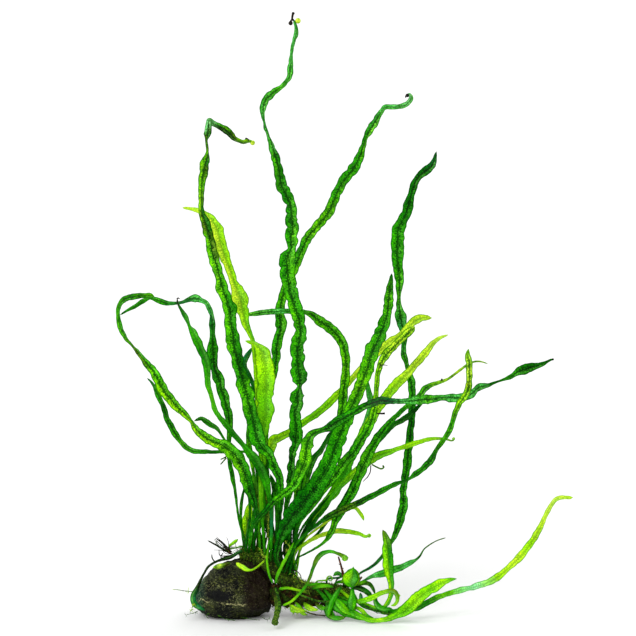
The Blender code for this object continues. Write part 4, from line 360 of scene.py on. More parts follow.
# The same kind of route, for what doesn't start on the rhizome: its first point is its own foot.
LOOSE = {
    "crozier_large": (YOUNG, [
        (24, 4.2, -21.5, 0.5), (28, 6.2, -22, 0.6), (31.5, 9.4, -21, 0.6), (35.2, 13.8, -19, 0.7),
        (37.8, 19, -18, 0.8), (39.1, 23.5, -18, 0.9), (41, 27.6, -18, 1.3), (43.7, 30.2, -18, 1.2),
        (47.5, 31.2, -18, 0.9), (51.2, 30.3, -18, 0.8), (54, 28.9, -18, 1.1), (55.6, 27.7, -18, 1.2),
        (55.2, 26.5, -18, 0.8)]),
    "stem_front_left": (YOUNG, [
        (18.8, 15.4, -11.5, 0.5), (17, 20, -12, 0.6), (16, 26, -11, 0.6), (16.3, 31.5, -10, 0.5),
        (17.2, 37, -9.5, 0.3)]),
    "stem_front_right": (YOUNG, [
        (20.3, 15.2, -12.5, 0.5), (21.2, 19.5, -14, 0.8), (24, 25, -14.5, 0.8), (27, 31, -13.5, 0.7),
        (29.5, 36, -13, 0.3)]),
    "stem_across": (YOUNG, [
        (22, 12.6, -12, 0.6), (26, 13, -12, 0.7), (31, 12, -12, 0.7), (36, 10.6, -11, 0.4)]),
    "runner_lime": (YOUNG, [
        (14.8, 26.8, -10, 0.4), (11, 23.5, -13, 0.5), (7.5, 21.9, -15, 0.6), (4, 23.3, -14.5, 1.3),
        (0.5, 25.6, -12, 0.7)]),
    "leaf_dead_yellow": (BROWN, [
        (-2.5, 25.6, -8, 0.6), (-6, 24.3, -9.5, 1.2), (-9, 23.7, -10.5, 1.2), (-11.2, 23.3, -11, 0.4)]),
    "root_left_1": (BROWN, [
        (-2, 30.4, 1, 0.5), (-6, 32.4, 0, 0.5), (-10, 34.8, 0, 0.45), (-13.8, 36.8, 0, 0.3)]),
    "root_left_2": (BROWN, [
        (-2.2, 31.9, 2.7, 0.45), (-6, 35.1, 2.5, 0.4), (-9.8, 38.1, 2.5, 0.25)]),
    "root_left_3": (BROWN, [(-9.8, 25.8, -1, 0.3), (-11.4, 28, -2, 0.3), (-11.6, 30, -2, 0.25)]),
    "root_middle": (BROWN, [
        (26.6, 21.9, 1.6, 0.35), (27.2, 25.5, 3.4, 0.35), (28.5, 30.5, 4, 0.35), (30, 36, 4, 0.3),
        (32.5, 45, 3, 0.25)]),
    "root_ground": (BROWN, [
        (33.5, 9.2, -3.4, 0.35), (32.8, 5, -6, 0.35), (35, 1.6, -9, 0.35), (40, -0.3, -9.5, 0.3),
        (46, -0.9, -9.5, 0.25)]),
}
print(len(FRONDS), "fronds and", len(LOOSE), "loose blades and roots")

# %% [markdown]
# The stage is a plain pale floor under an even white sky, as in a light tent, with one broad soft panel in
# front and one behind. Leaves are thin and let light through, so they look best when it comes from all
# round them. The camera stands where the eye is, and its lens is worked out from the width that it has to
# take in.

# %% Floor, light and camera
def deselect_all():
    if bpy.context.object and bpy.context.object.mode != "OBJECT":
        bpy.ops.object.mode_set(mode="OBJECT")
    bpy.ops.object.select_all(action="DESELECT")


def add_node(tree, kind, inputs=None, **settings):
    """A shader node: inputs holds a value or another node's socket for each of its sockets."""
    made = tree.nodes.new(kind)
    for key, value in settings.items():
        setattr(made, key, value)
    for key, value in (inputs or {}).items():
        if isinstance(value, bpy.types.NodeSocket):
            tree.links.new(value, made.inputs[key])
        else:
            made.inputs[key].default_value = value
    return made


def paint(red, green, blue):
    """A colour as a painter's program shows it, 0 to 255, as the light that the shader wants."""
    return [(part / 12.92 if part <= 0.04045 else ((part + 0.055) / 1.055) ** 2.4)
            for part in (red / 255, green / 255, blue / 255)]


FLOOR_SIZE = 60.0
FLOOR_DROP = 0.0002
FLOOR_ROUGHNESS = 0.9
SKY_STRENGTH = 0.64

deselect_all()
bpy.ops.mesh.primitive_plane_add(size=FLOOR_SIZE, location=(0, 0, -FLOOR_DROP))
floor = bpy.context.object
floor.name = "studio_floor"
floor_finish = bpy.data.materials.new("pale floor")
floor_finish.use_nodes = True
floor_surface = floor_finish.node_tree.nodes["Principled BSDF"]
floor_surface.inputs["Base Color"].default_value = (*paint(250, 250, 250), 1)
floor_surface.inputs["Roughness"].default_value = FLOOR_ROUGHNESS
floor.data.materials.append(floor_finish)

scene = bpy.context.scene
scene.view_settings.view_transform = "Standard"
sky = bpy.data.worlds.new("light tent")
sky.use_nodes = True
sky.node_tree.nodes["Background"].inputs["Color"].default_value = (1, 1, 1, 1)
sky.node_tree.nodes["Background"].inputs["Strength"].default_value = SKY_STRENGTH
scene.world = sky


def add_panel(name, towards, strength, spread):
    """A very broad, far lamp: the way its light comes from, its strength and its spread in degrees."""
    lamp = bpy.data.lights.new(name, "SUN")
    lamp.energy = strength
    lamp.angle = math.radians(spread)
    stand = bpy.data.objects.new(name, lamp)
    stand.rotation_euler = Vector(towards).to_track_quat("Z", "Y").to_euler()
    scene.collection.objects.link(stand)


add_panel("front panel", towards=(-0.7, -1.0, 1.0), strength=1.9, spread=45)
add_panel("back panel", towards=(0.8, 0.8, 0.9), strength=0.9, spread=60)

camera = bpy.data.cameras.new("eye")
camera.lens = camera.sensor_width * EYE_DISTANCE / SIGHT_WIDTH
camera_stand = bpy.data.objects.new("eye", camera)
camera_stand.location = EYE * MM
camera_stand.rotation_euler = AHEAD.to_track_quat("-Z", "Y").to_euler()
scene.collection.objects.link(camera_stand)
scene.camera = camera_stand
print("lens", round(camera.lens, 1), "mm")

# %% [markdown]
# A frond is a ribbon with a raised midrib. On the plant it comes up from the rhizome on a round stalk,
# widens, ruffles along both margins and ends in a point. It could be cut from a plane and bent with a curve
# modifier, but such a strip has no say in which way its face turns. Here each blade starts as a flat sheet
# that is rolled up like a straw, pressed flat and laid along its route, cross section by cross section, so
# that both faces and both margins are closed skin.

# %% Smooth curves through the chosen points
STATION = 0.7
FEWEST_STATIONS = 6
FINE = 24
SMOOTHED = 5
NOISE_SPAN = 1.7


def spline_at(points, where):
    """A smooth curve through points of any length, where counts points from the first."""
    index = min(int(where), len(points) - 2)
    part = where - index
    a = points[max(index - 1, 0)]
    b, c = points[index], points[index + 1]
    d = points[min(index + 2, len(points) - 1)]
    near = math.dist(b[:3], c[:3])
    rise_b = [(end - start) * near / max(math.dist(a[:3], c[:3]), 1e-6) for start, end in zip(a, c)]
    rise_c = [(end - start) * near / max(math.dist(b[:3], d[:3]), 1e-6) for start, end in zip(b, d)]
    square, cube = part * part, part**3
    return [
        p * (2 * cube - 3 * square + 1) + m * (cube - 2 * square + part)
        + q * (3 * square - 2 * cube) + n * (cube - square)
        for p, q, m, n in zip(b, c, rise_b, rise_c)
    ]


def even_line(points, station=STATION):
    """The curve at even steps: how far along each step is, and a table of its values there."""
    spans = len(points) - 1
    dense = np.array([spline_at(points, step / FINE) for step in range(spans * FINE + 1)])
    far = np.concatenate([[0], np.cumsum(np.linalg.norm(np.diff(dense[:, :3], axis=0), axis=1))])
    along = np.linspace(0, far[-1], max(FEWEST_STATIONS, round(far[-1] / station)) + 1)
    columns = [np.interp(along, far, dense[:, column]) for column in range(dense.shape[1])]
    return along, np.column_stack(columns)


def unit(vectors):
    return vectors / np.maximum(np.linalg.norm(vectors, axis=1, keepdims=True), 1e-9)


def frame_along(place):
    """The ways ahead, to the side and out of the face, which is turned to the eye as far as it can be."""
    ahead = unit(np.gradient(place, axis=0))
    side = np.cross(ahead, -np.array(AHEAD))
    window = np.ones(SMOOTHED) / SMOOTHED
    spare = SMOOTHED // 2
    padded = np.vstack([side[:1].repeat(spare, axis=0), side, side[-1:].repeat(spare, axis=0)])
    side = unit(np.column_stack([np.convolve(padded[:, axis], window, "valid") for axis in range(3)]))
    face = unit(np.cross(side, ahead))
    return ahead, np.cross(ahead, face), face


def jogs(along, period, *seed):
    """Uneven straight steps between about -1 and 1, with a corner every period."""
    knots = np.arange(0, along[-1] + 2 * period, period)
    return np.interp(along, knots, [NOISE_SPAN * noise.noise((knot * 0.37, *seed)) for knot in knots])


def waves(along, period, *seed):
    """Smooth uneven waves between about -1 and 1."""
    return np.array([NOISE_SPAN * noise.noise((value / period, *seed)) for value in along])


# %% The sheet, laid on its cross sections and closed
def open_sheet(name, rings):
    """A sheet through cross sections in millimetres, shaped (sections, points round, 3).

    Each ring ends where it began, so the sheet's two long edges lie on each other.
    """
    sections, around, _ = rings.shape
    deselect_all()
    bpy.ops.mesh.primitive_grid_add(x_subdivisions=around - 1, y_subdivisions=sections - 1, size=1)
    piece = bpy.context.object
    piece.name = name
    piece.data.name = name
    piece.data.vertices.foreach_set("co", (rings * MM).astype(np.float32).ravel())
    return piece


def close_sheet(piece):
    """Joins the sheet's two long edges, closes both ends and turns its faces outwards."""
    deselect_all()
    piece.select_set(True)
    bpy.context.view_layer.objects.active = piece
    bpy.ops.object.mode_set(mode="EDIT")
    bpy.ops.mesh.select_all(action="SELECT")
    bpy.ops.mesh.remove_doubles(threshold=1e-7)
    bpy.ops.mesh.select_all(action="SELECT")
    bpy.ops.mesh.fill_holes(sides=0)
    bpy.ops.mesh.select_all(action="SELECT")
    bpy.ops.mesh.normals_make_consistent(inside=False)
    bpy.ops.object.mode_set(mode="OBJECT")
    bpy.ops.object.shade_smooth()


def finish_piece(piece, finish, slot, *nodes):
    """Gives the piece its material and body and hides the solids it stands for; the slot is not used."""
    piece.data.materials.clear()
    piece.data.materials.append(finish)
    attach(piece, "root")
    if nodes:
        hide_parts(*nodes)


# %% [markdown]
# The colours of a frond change along it: deep green in the crowded foot, which is painted shade, fresh
# green in the middle, lime where it is young, blue-green where its back shows, and black where the tip has
# died. Pale mint and ice stops along a run are painted highlights. Each frond has its own short run of
# shades from foot to tip, and a second run where its two halves differ, in colour and in the painted light
# and shade across a fold.

# %% The shades, from foot to tip
SHADES = {
    # deep is painted shade at the crowded feet, and mint and ice are painted highlights
    "deep": paint(0, 78, 0),
    "dark": paint(14, 126, 0),
    "green": paint(54, 176, 0),
    "fresh": paint(92, 204, 2),
    "bright": paint(124, 222, 4),
    "lime": paint(172, 244, 8),
    "pale": paint(214, 252, 50),
    "yellow": paint(218, 248, 84),
    "olive": paint(96, 132, 14),
    "teal": paint(20, 128, 70),
    "mint": paint(104, 222, 108),
    "ice": paint(166, 252, 180),
    "soot": paint(18, 26, 10),
    "brown": paint(78, 50, 20),
}


def shade_along(names, part):
    """The colour at each part of the way along, from evenly spaced shades."""
    stops = np.array([SHADES[name] for name in names.split()])
    where = np.clip(part, 0, 1) * (len(stops) - 1)
    return np.column_stack([np.interp(where, range(len(stops)), stops[:, channel]) for channel in range(3)])


print("shades:", ", ".join(SHADES))

# %% The two margins of a blade
COLUMNS = 16
MARGIN_FADE = 5.0
NARROWEST = 0.15

# A blade's habit, unless it has its own; lobe is the length of one lobe in mm and twist is in degrees
PLAIN = {"lobes": 0.05, "lobe": 6.5, "uneven": 0.13, "ruffle": 0.18, "fold": 0.18, "twist": 14, "kink": 0.1}


def across_columns():
    """Places round one cross section, with -1 and 1 at the margins, and the face of each one, 1 or -1."""
    spread = np.linspace(-1, 1, COLUMNS + 1)
    front = np.sign(spread) * np.abs(spread) ** 1.2
    faces = np.concatenate([np.ones(COLUMNS + 1), -np.ones(COLUMNS)])
    return np.concatenate([front, front[-2::-1]]), faces


def margin_width(half, along, way, habit, seed):
    """Half widths along one margin, with rounded lobes and uneven growth."""
    lobe = np.abs(np.sin(np.pi * along / habit["lobe"] + way + 1.4 * waves(along, 9.0, seed, way)))
    growth = waves(along, 4.5, way * 5, seed) + 0.5 * waves(along, 1.9, seed, way * 9)
    return half * (1 + habit["lobes"] * (2 * lobe**0.7 - 1.3) + habit["uneven"] * growth)


def through_margins(widths, along, place, side, margins):
    """Makes the margins of a blade pass through seen points, given as (across, up)."""
    centre = as_seen(place)
    out = as_seen(place + side) - centre
    changes = ([], [])
    for point in margins:
        off = np.array(point) - centre
        station = np.argmin(np.linalg.norm(off, axis=1))
        reach = off[station] @ out[station] / max(out[station] @ out[station], 0.2)
        edge = int(reach > 0)
        changes[edge].append((along[station], abs(reach) - widths[edge][station]))
    for width, change in zip(widths, changes):
        if change:
            before = (min(change)[0] - MARGIN_FADE, 0)
            after = (max(change)[0] + MARGIN_FADE, 0)
            width += np.interp(along, *zip(before, *sorted(change), after))
            np.clip(width, NARROWEST, None, out=width)


# %% How thick a blade is, and how far it leaves the flat
MARGIN_HALF = 0.05
SHEET_HALF = 0.13
RIB_HALF = 0.28
RIB_WIDTH = 0.36
RIB_FULL_FROM = 1.6
STALK_WIDEST = 1.2
STALK_DEPTH = 1.5
RUFFLE_PERIOD = 4.2
FOLD_PERIOD = 30.0


def blade_thickness(half, spread, across):
    """Half the thickness at each point: a sheet with a midrib, or a round stalk where the blade is narrow."""
    inner = 1 - np.abs(spread) ** 5
    rib = RIB_HALF * np.minimum(half / RIB_FULL_FROM, 1)[:, None] * np.exp(-((across / RIB_WIDTH) ** 2))
    sheet = (MARGIN_HALF + SHEET_HALF * np.minimum(half, 1)[:, None]) * inner + rib
    stalk = np.clip(1 - half / STALK_WIDEST, 0, 1)[:, None] * STALK_DEPTH * half[:, None]
    return np.maximum(sheet, stalk * np.sqrt(1 - spread**2)) * (np.abs(spread) < 1)


def blade_lift(half, along, spread, habit, seed):
    """How far each point leaves the flat: both margins ruffle, and both halves fold along the midrib."""
    broad = np.clip(half - 0.5, 0, None)[:, None]
    left, right = (waves(along, RUFFLE_PERIOD, seed, side)[:, None] for side in (1.7, 6.3))
    ruffle = habit["ruffle"] * 2 * np.where(spread < 0, left, right)
    fold = habit["fold"] + 0.3 * waves(along, FOLD_PERIOD, seed, 8.8)[:, None]
    return broad * (ruffle * np.abs(spread) ** 2.2 - fold * np.abs(spread) ** 1.3)


# %% The colour of each point of a blade
TONE_PERIOD = 7.0
RAGGED_PERIOD = 2.3
# A pale painted highlight, laid beside the midrib where a blade bends or twists
PAINTED_HIGHLIGHT = paint(150, 240, 110)
HIGHLIGHT_PLACE = 0.35
HIGHLIGHT_WIDTH = 0.4
HIGHLIGHT_STATIONS = 7


def painted_highlight_strength(along, spread, half, ahead, turn):
    """How much painted highlight each point takes: a pale band beside the midrib of a bend or a twist."""
    bend = np.linalg.norm(np.gradient(ahead, along, axis=0), axis=1) * 6
    bend += np.abs(np.gradient(turn, along)) * 2.5
    highlight_mask = np.convolve(np.clip(bend, 0, 1), np.ones(HIGHLIGHT_STATIONS) / HIGHLIGHT_STATIONS, "same")[:, None]
    highlight_mask = highlight_mask * np.exp(-(((spread - HIGHLIGHT_PLACE) / HIGHLIGHT_WIDTH) ** 2))
    return (0.45 * highlight_mask * np.clip(half / 1.2, 0, 1)[:, None])[..., None]


def blade_tint(shades, along, spread, seed):
    """The colour at each point, from one run of shades, or from a pair for the left and the right half."""
    halves = shades if isinstance(shades, tuple) else (shades, shades)
    ragged = along / along[-1] + 0.012 * waves(along, RAGGED_PERIOD, seed, 4.4)
    left, right = (shade_along(names, ragged)[:, None] for names in halves)
    blend = np.clip(0.5 + spread * 2.5, 0, 1)[None, :, None]
    tint = left * (1 - blend) + right * blend
    return tint * (1 + 0.16 * waves(along, TONE_PERIOD, seed, 9.9)[:, None, None])


# %% A blade on its route
TIP_ROUNDING = 1.3
FOOT_ROUNDING = 0.6
KINK_PERIOD = 6.5
TWIST_PERIOD = 8.5


def lay_blade(name, points, shades, habit, seed, margins=()):
    """Builds one blade along world points (x, y, z, half width, turn)."""
    habit = {**PLAIN, **habit}
    along, line = even_line(points)
    place, half, turn = line[:, :3], line[:, 3], np.radians(line[:, 4])
    to_tip = np.clip((along[-1] - along) / TIP_ROUNDING, 0.01, 1)
    half *= np.sqrt(to_tip * np.clip((along + 0.2) / FOOT_ROUNDING, 0, 1))
    ahead, side, face = frame_along(place)
    place = place + side * (habit["kink"] * half * jogs(along, KINK_PERIOD, seed, 5.2))[:, None]
    turn = turn + np.radians(habit["twist"]) * jogs(along, TWIST_PERIOD, seed, 3.1)
    cos, sin = np.cos(turn)[:, None], np.sin(turn)[:, None]
    side, face = side * cos - face * sin, face * cos + side * sin

    spread, skin = across_columns()
    left, right = (margin_width(half, along, way, habit, seed) for way in (-1, 1))
    through_margins((left, right), along, place, side, margins)
    reach = np.where(spread < 0, left[:, None], right[:, None])
    across = spread * reach
    thick = blade_thickness(half, spread, across)
    raised = blade_lift(half, along, spread, habit, seed) + skin * thick
    flat = place[:, None] + side[:, None] * across[..., None]
    piece = open_sheet(name, flat + face[:, None] * raised[..., None])

    tint = blade_tint(shades, along, spread, seed)
    # Blends in the painted highlight at bends and twists
    tint += (np.array(PAINTED_HIGHLIGHT) - tint) * painted_highlight_strength(along, spread, half, ahead, turn)
    front = np.broadcast_to((skin > 0)[None, :, None], (*across.shape, 1))
    tint = np.concatenate([tint, front], axis=2)
    from_margin = (1 - np.abs(spread)) * reach
    spot = np.stack([from_margin, np.broadcast_to(along[:, None], across.shape), across], axis=2)
    piece.data.color_attributes.new("tint", "FLOAT_COLOR", "POINT")
    piece.data.color_attributes["tint"].data.foreach_set("color", tint.astype(np.float32).ravel())
    piece.data.attributes.new("spot", "FLOAT_VECTOR", "POINT")
    piece.data.attributes["spot"].data.foreach_set("vector", spot.astype(np.float32).ravel())
    close_sheet(piece)
    return piece


# %% [markdown]
# The tissue of every blade is one effect, so it is one node group. It reads two attributes of the skin: its
# tint, and its spot, which is the distance from the margin, the way along and the distance from the midrib,
# all in millimetres. From these it draws the dark midrib, the spore dots beside it, slanting side veins,
# the fine net between them and the dark margin, at their real size on every blade.

# %% Node helpers
def maths(tree, operation, *values):
    inputs = dict(enumerate(values))
    return add_node(tree, "ShaderNodeMath", inputs, operation=operation).outputs[0]


def times(tree, first, second):
    return maths(tree, "MULTIPLY", first, second)


def plus(tree, first, second):
    return maths(tree, "ADD", first, second)


def minus(tree, first, second):
    return maths(tree, "SUBTRACT", first, second)


def fade(tree, value, start, end):
    """0 at start, 1 at end, smooth between them; start may be the higher one."""
    inputs = {"Value": value, "From Min": start, "From Max": end}
    made = add_node(tree, "ShaderNodeMapRange", inputs, interpolation_type="SMOOTHSTEP")
    return made.outputs["Result"]


def blend_colour(tree, factor, first, second, how="MIX"):
    """Mixes two colours; with MULTIPLY the second one scales the first where the factor is 1."""
    made = tree.nodes.new("ShaderNodeMix")
    made.data_type = "RGBA"
    made.blend_type = how
    for index, value in ((0, factor), (6, first), (7, second)):
        if isinstance(value, bpy.types.NodeSocket):
            tree.links.new(value, made.inputs[index])
        else:
            made.inputs[index].default_value = value if index == 0 else (*value[:3], 1)
    return made.outputs[2]


def clouds(tree, vector, scale, detail=2.0, roughness=0.5):
    inputs = {"Vector": vector, "Scale": scale, "Detail": detail, "Roughness": roughness}
    return add_node(tree, "ShaderNodeTexNoise", inputs).outputs["Fac"]


def cells(tree, vector, scale, feature="F1", randomness=1.0):
    inputs = {"Vector": vector, "Scale": scale, "Randomness": randomness}
    return add_node(tree, "ShaderNodeTexVoronoi", inputs, feature=feature).outputs["Distance"]


def new_group(name, inputs, outputs):
    """An empty node group with named sockets, given as name: kind."""
    group = bpy.data.node_groups.new(name, "ShaderNodeTree")
    for direction, sockets in (("INPUT", inputs), ("OUTPUT", outputs)):
        for socket, kind in sockets.items():
            group.interface.new_socket(socket, in_out=direction, socket_type=kind)
    return group, group.nodes.new("NodeGroupInput").outputs, group.nodes.new("NodeGroupOutput").inputs


def new_finish(name, roughness, gloss=0.1):
    finish = bpy.data.materials.new(name)
    finish.use_nodes = True
    surface = finish.node_tree.nodes["Principled BSDF"]
    surface.inputs["Roughness"].default_value = roughness
    surface.inputs["Specular IOR Level"].default_value = gloss
    return finish, finish.node_tree, surface


def bump(tree, surface, height, strength, distance):
    """Turns heights into relief on a finish; the distance is in millimetres."""
    inputs = {"Height": height, "Strength": strength, "Distance": distance * MM}
    made = add_node(tree, "ShaderNodeBump", inputs)
    tree.links.new(made.outputs["Normal"], surface.inputs["Normal"])


# %% What the fern tissue is given, and the uneven growth under all its patterns
COLOUR, VALUE, VECTOR = "NodeSocketColor", "NodeSocketFloat", "NodeSocketVector"
TISSUE_GIVEN = {
    "Tint": COLOUR, "Front": VALUE, "Spot": VECTOR,
    "Midrib": VALUE, "Dots": VALUE, "Veins": VALUE, "Margin": VALUE, "Light patches": VALUE,
}
TISSUE_MADE = {"Color": COLOUR, "Height": VALUE, "Roughness": VALUE}

tissue, given, result = new_group("fern tissue", TISSUE_GIVEN, TISSUE_MADE)
parts = add_node(tissue, "ShaderNodeSeparateXYZ", {"Vector": given["Spot"]}).outputs
inward, onward, sideways = parts["X"], parts["Y"], parts["Z"]
off_rib = maths(tissue, "ABSOLUTE", sideways)
flat = add_node(tissue, "ShaderNodeCombineXYZ", {"X": sideways, "Y": onward}).outputs[0]
uneven = clouds(tissue, flat, 0.9, 3)
patches = clouds(tissue, flat, 0.28, 2)
blotches = clouds(tissue, flat, 0.55, 2)
grit = clouds(tissue, flat, 1.3, 4, 0.65)
half_width = plus(tissue, inward, off_rib)
breadth = fade(tissue, half_width, 0.6, 1.9)
slender = plus(tissue, 0.45, times(tissue, breadth, 0.55))
print("fern tissue is given:", ", ".join(TISSUE_GIVEN))

# %% The tissue's dark midrib, in dashes, and the spore dots beside it
DASH_LENGTH = 1.25

dash_phase = maths(tissue, "FRACT", plus(tissue, maths(tissue, "DIVIDE", onward, DASH_LENGTH), uneven))
dash_gap = maths(tissue, "ABSOLUTE", minus(tissue, dash_phase, 0.5))
rib_reach = plus(tissue, off_rib, times(tissue, dash_gap, 0.5))
rib_line = fade(tissue, rib_reach, 0.55, 0.25)
from_rib = maths(tissue, "DIVIDE", off_rib, maths(tissue, "MAXIMUM", half_width, 1.2))
rib_band = fade(tissue, minus(tissue, grit, times(tissue, from_rib, 0.3)), 0.4, 0.45)
rib_mask = times(tissue, maths(tissue, "MAXIMUM", rib_line, rib_band), slender)
dot_round = fade(tissue, cells(tissue, flat, 0.95, randomness=0.85), 0.48, 0.3)
dot_band = times(tissue, fade(tissue, off_rib, 0.3, 0.5), fade(tissue, inward, 0.35, 0.6))
dot_mask = times(tissue, times(tissue, dot_round, dot_band), fade(tissue, blotches, 0.4, 0.5))
print("with midrib and dots:", len(tissue.nodes), "nodes")

# %% The tissue's side veins, fine net, pale flecks and dark margin
VEIN_STEP = 2.3
VEIN_SLANT = 0.9

slant = minus(tissue, onward, times(tissue, off_rib, VEIN_SLANT))
vein_phase = plus(tissue, maths(tissue, "DIVIDE", slant, VEIN_STEP), uneven)
vein_gap = maths(tissue, "ABSOLUTE", minus(tissue, maths(tissue, "FRACT", vein_phase), 0.5))
vein_mask = fade(tissue, vein_gap, 0.13, 0.0)
net_gap = cells(tissue, flat, 0.85, "DISTANCE_TO_EDGE")
net_mask = fade(tissue, net_gap, 0.26, 0.05)
fleck_round = fade(tissue, cells(tissue, flat, 1.0), 0.42, 0.2)
fleck_mask = times(tissue, fleck_round, fade(tissue, uneven, 0.48, 0.6))
margin_edge = minus(tissue, inward, times(tissue, uneven, 0.45))
margin_mask = times(tissue, fade(tissue, margin_edge, 0.38, 0.14), slender)
print("with veins, net, flecks and margin:", len(tissue.nodes), "nodes")

# %% The tissue's colours, laid one over the other, and its relief
BACK_SHADE = paint(20, 130, 80)
# Broad patches of painted shade and painted light
shade_patches = fade(tissue, patches, 0.6, 0.36)
sunlit = fade(tissue, blotches, 0.5, 0.68)
net = maths(tissue, "MAXIMUM", vein_mask, net_mask)

# Where each layer lies, and what it multiplies the colour by: more than 1 makes it paler
# The shaded and sunlit patches are painted shade and painted light; the other layers are the tissue's own
# colour.
TISSUE_LAYERS = {
    "shaded patches": (times(tissue, shade_patches, given["Light patches"]), (0.4, 0.6, 0.3)),
    "sunlit patches": (times(tissue, sunlit, times(tissue, given["Light patches"], 0.6)), (2.1, 1.5, 1.6)),
    "veins": (times(tissue, net, given["Veins"]), (0.25, 0.5, 0.1)),
    "flecks": (times(tissue, fleck_mask, 0.7), (2.6, 1.7, 2.4)),
    "margin": (times(tissue, margin_mask, given["Margin"]), (0.05, 0.24, 0.02)),
    "dots": (times(tissue, dot_mask, given["Dots"]), (0.05, 0.2, 0.02)),
    "midrib": (times(tissue, rib_mask, given["Midrib"]), (0.03, 0.14, 0.02)),
}
behind = times(tissue, minus(tissue, 1.0, given["Front"]), 0.12)
colour = blend_colour(tissue, behind, given["Tint"], BACK_SHADE)
for mask, strength in TISSUE_LAYERS.values():
    colour = blend_colour(tissue, mask, colour, strength, "MULTIPLY")
tissue.links.new(colour, result["Color"])
domes = times(tissue, fade(tissue, net_gap, 0.0, 0.35), 0.6)
raised = plus(tissue, domes, times(tissue, dot_mask, 0.5))
tissue.links.new(minus(tissue, raised, times(tissue, vein_mask, 0.4)), result["Height"])
tissue.links.new(plus(tissue, 0.3, times(tissue, uneven, 0.3)), result["Roughness"])
print("fern tissue:", len(tissue.nodes), "nodes, layers:", ", ".join(TISSUE_LAYERS))

# %% Blade finishes
LIGHT_DEPTH = 0.0012
LIGHT_SHARE = 0.15
LIGHT_REACH = (0.5, 1.0, 0.15)
BLADE_GLOSS = 0.03
RELIEF_HEIGHT = 0.12
RELIEF_STRENGTH = 0.5


def blade_finish(name, midrib, dots, veins, margin, light_patches):
    """A blade's material: the tissue, a soft gloss and a little light let through."""
    finish, tree, surface = new_finish(name, 0.5, BLADE_GLOSS)
    tint = add_node(tree, "ShaderNodeAttribute", attribute_name="tint")
    spot = add_node(tree, "ShaderNodeAttribute", attribute_name="spot")
    inputs = {"Tint": tint.outputs["Color"], "Front": tint.outputs["Alpha"], "Spot": spot.outputs["Vector"],
              "Midrib": midrib, "Dots": dots, "Veins": veins, "Margin": margin, "Light patches": light_patches}
    made = add_node(tree, "ShaderNodeGroup", inputs, node_tree=tissue)
    tree.links.new(made.outputs["Color"], surface.inputs["Base Color"])
    tree.links.new(made.outputs["Roughness"], surface.inputs["Roughness"])
    bump(tree, surface, made.outputs["Height"], RELIEF_STRENGTH, RELIEF_HEIGHT)
    surface.inputs["Subsurface Weight"].default_value = LIGHT_SHARE
    surface.inputs["Subsurface Radius"].default_value = LIGHT_REACH
    surface.inputs["Subsurface Scale"].default_value = LIGHT_DEPTH
    return finish


FINISHES = {
    MATURE: blade_finish("grown frond", midrib=0.95, dots=0.85, veins=0.6, margin=0.9, light_patches=1.0),
    YOUNG: blade_finish("young frond", midrib=0.5, dots=0.5, veins=0.3, margin=0.7, light_patches=0.3),
    TEAL: blade_finish("frond back", midrib=0.55, dots=0.3, veins=0.4, margin=0.8, light_patches=0.8),
    DARK: blade_finish("old frond", midrib=0.8, dots=0.6, veins=0.5, margin=0.8, light_patches=1.0),
    BROWN: blade_finish("dry stem", midrib=0.2, dots=0.3, veins=0.4, margin=0.3, light_patches=1.0),
}
print("blade finishes:", len(FINISHES))

# %% [markdown]
# Now every frond gets its own shades, and where it needs one its own habit: how deep its lobes are, how far
# its margins ruffle and how sharply it folds along the midrib. A pair of runs is for the left and the right
# half.

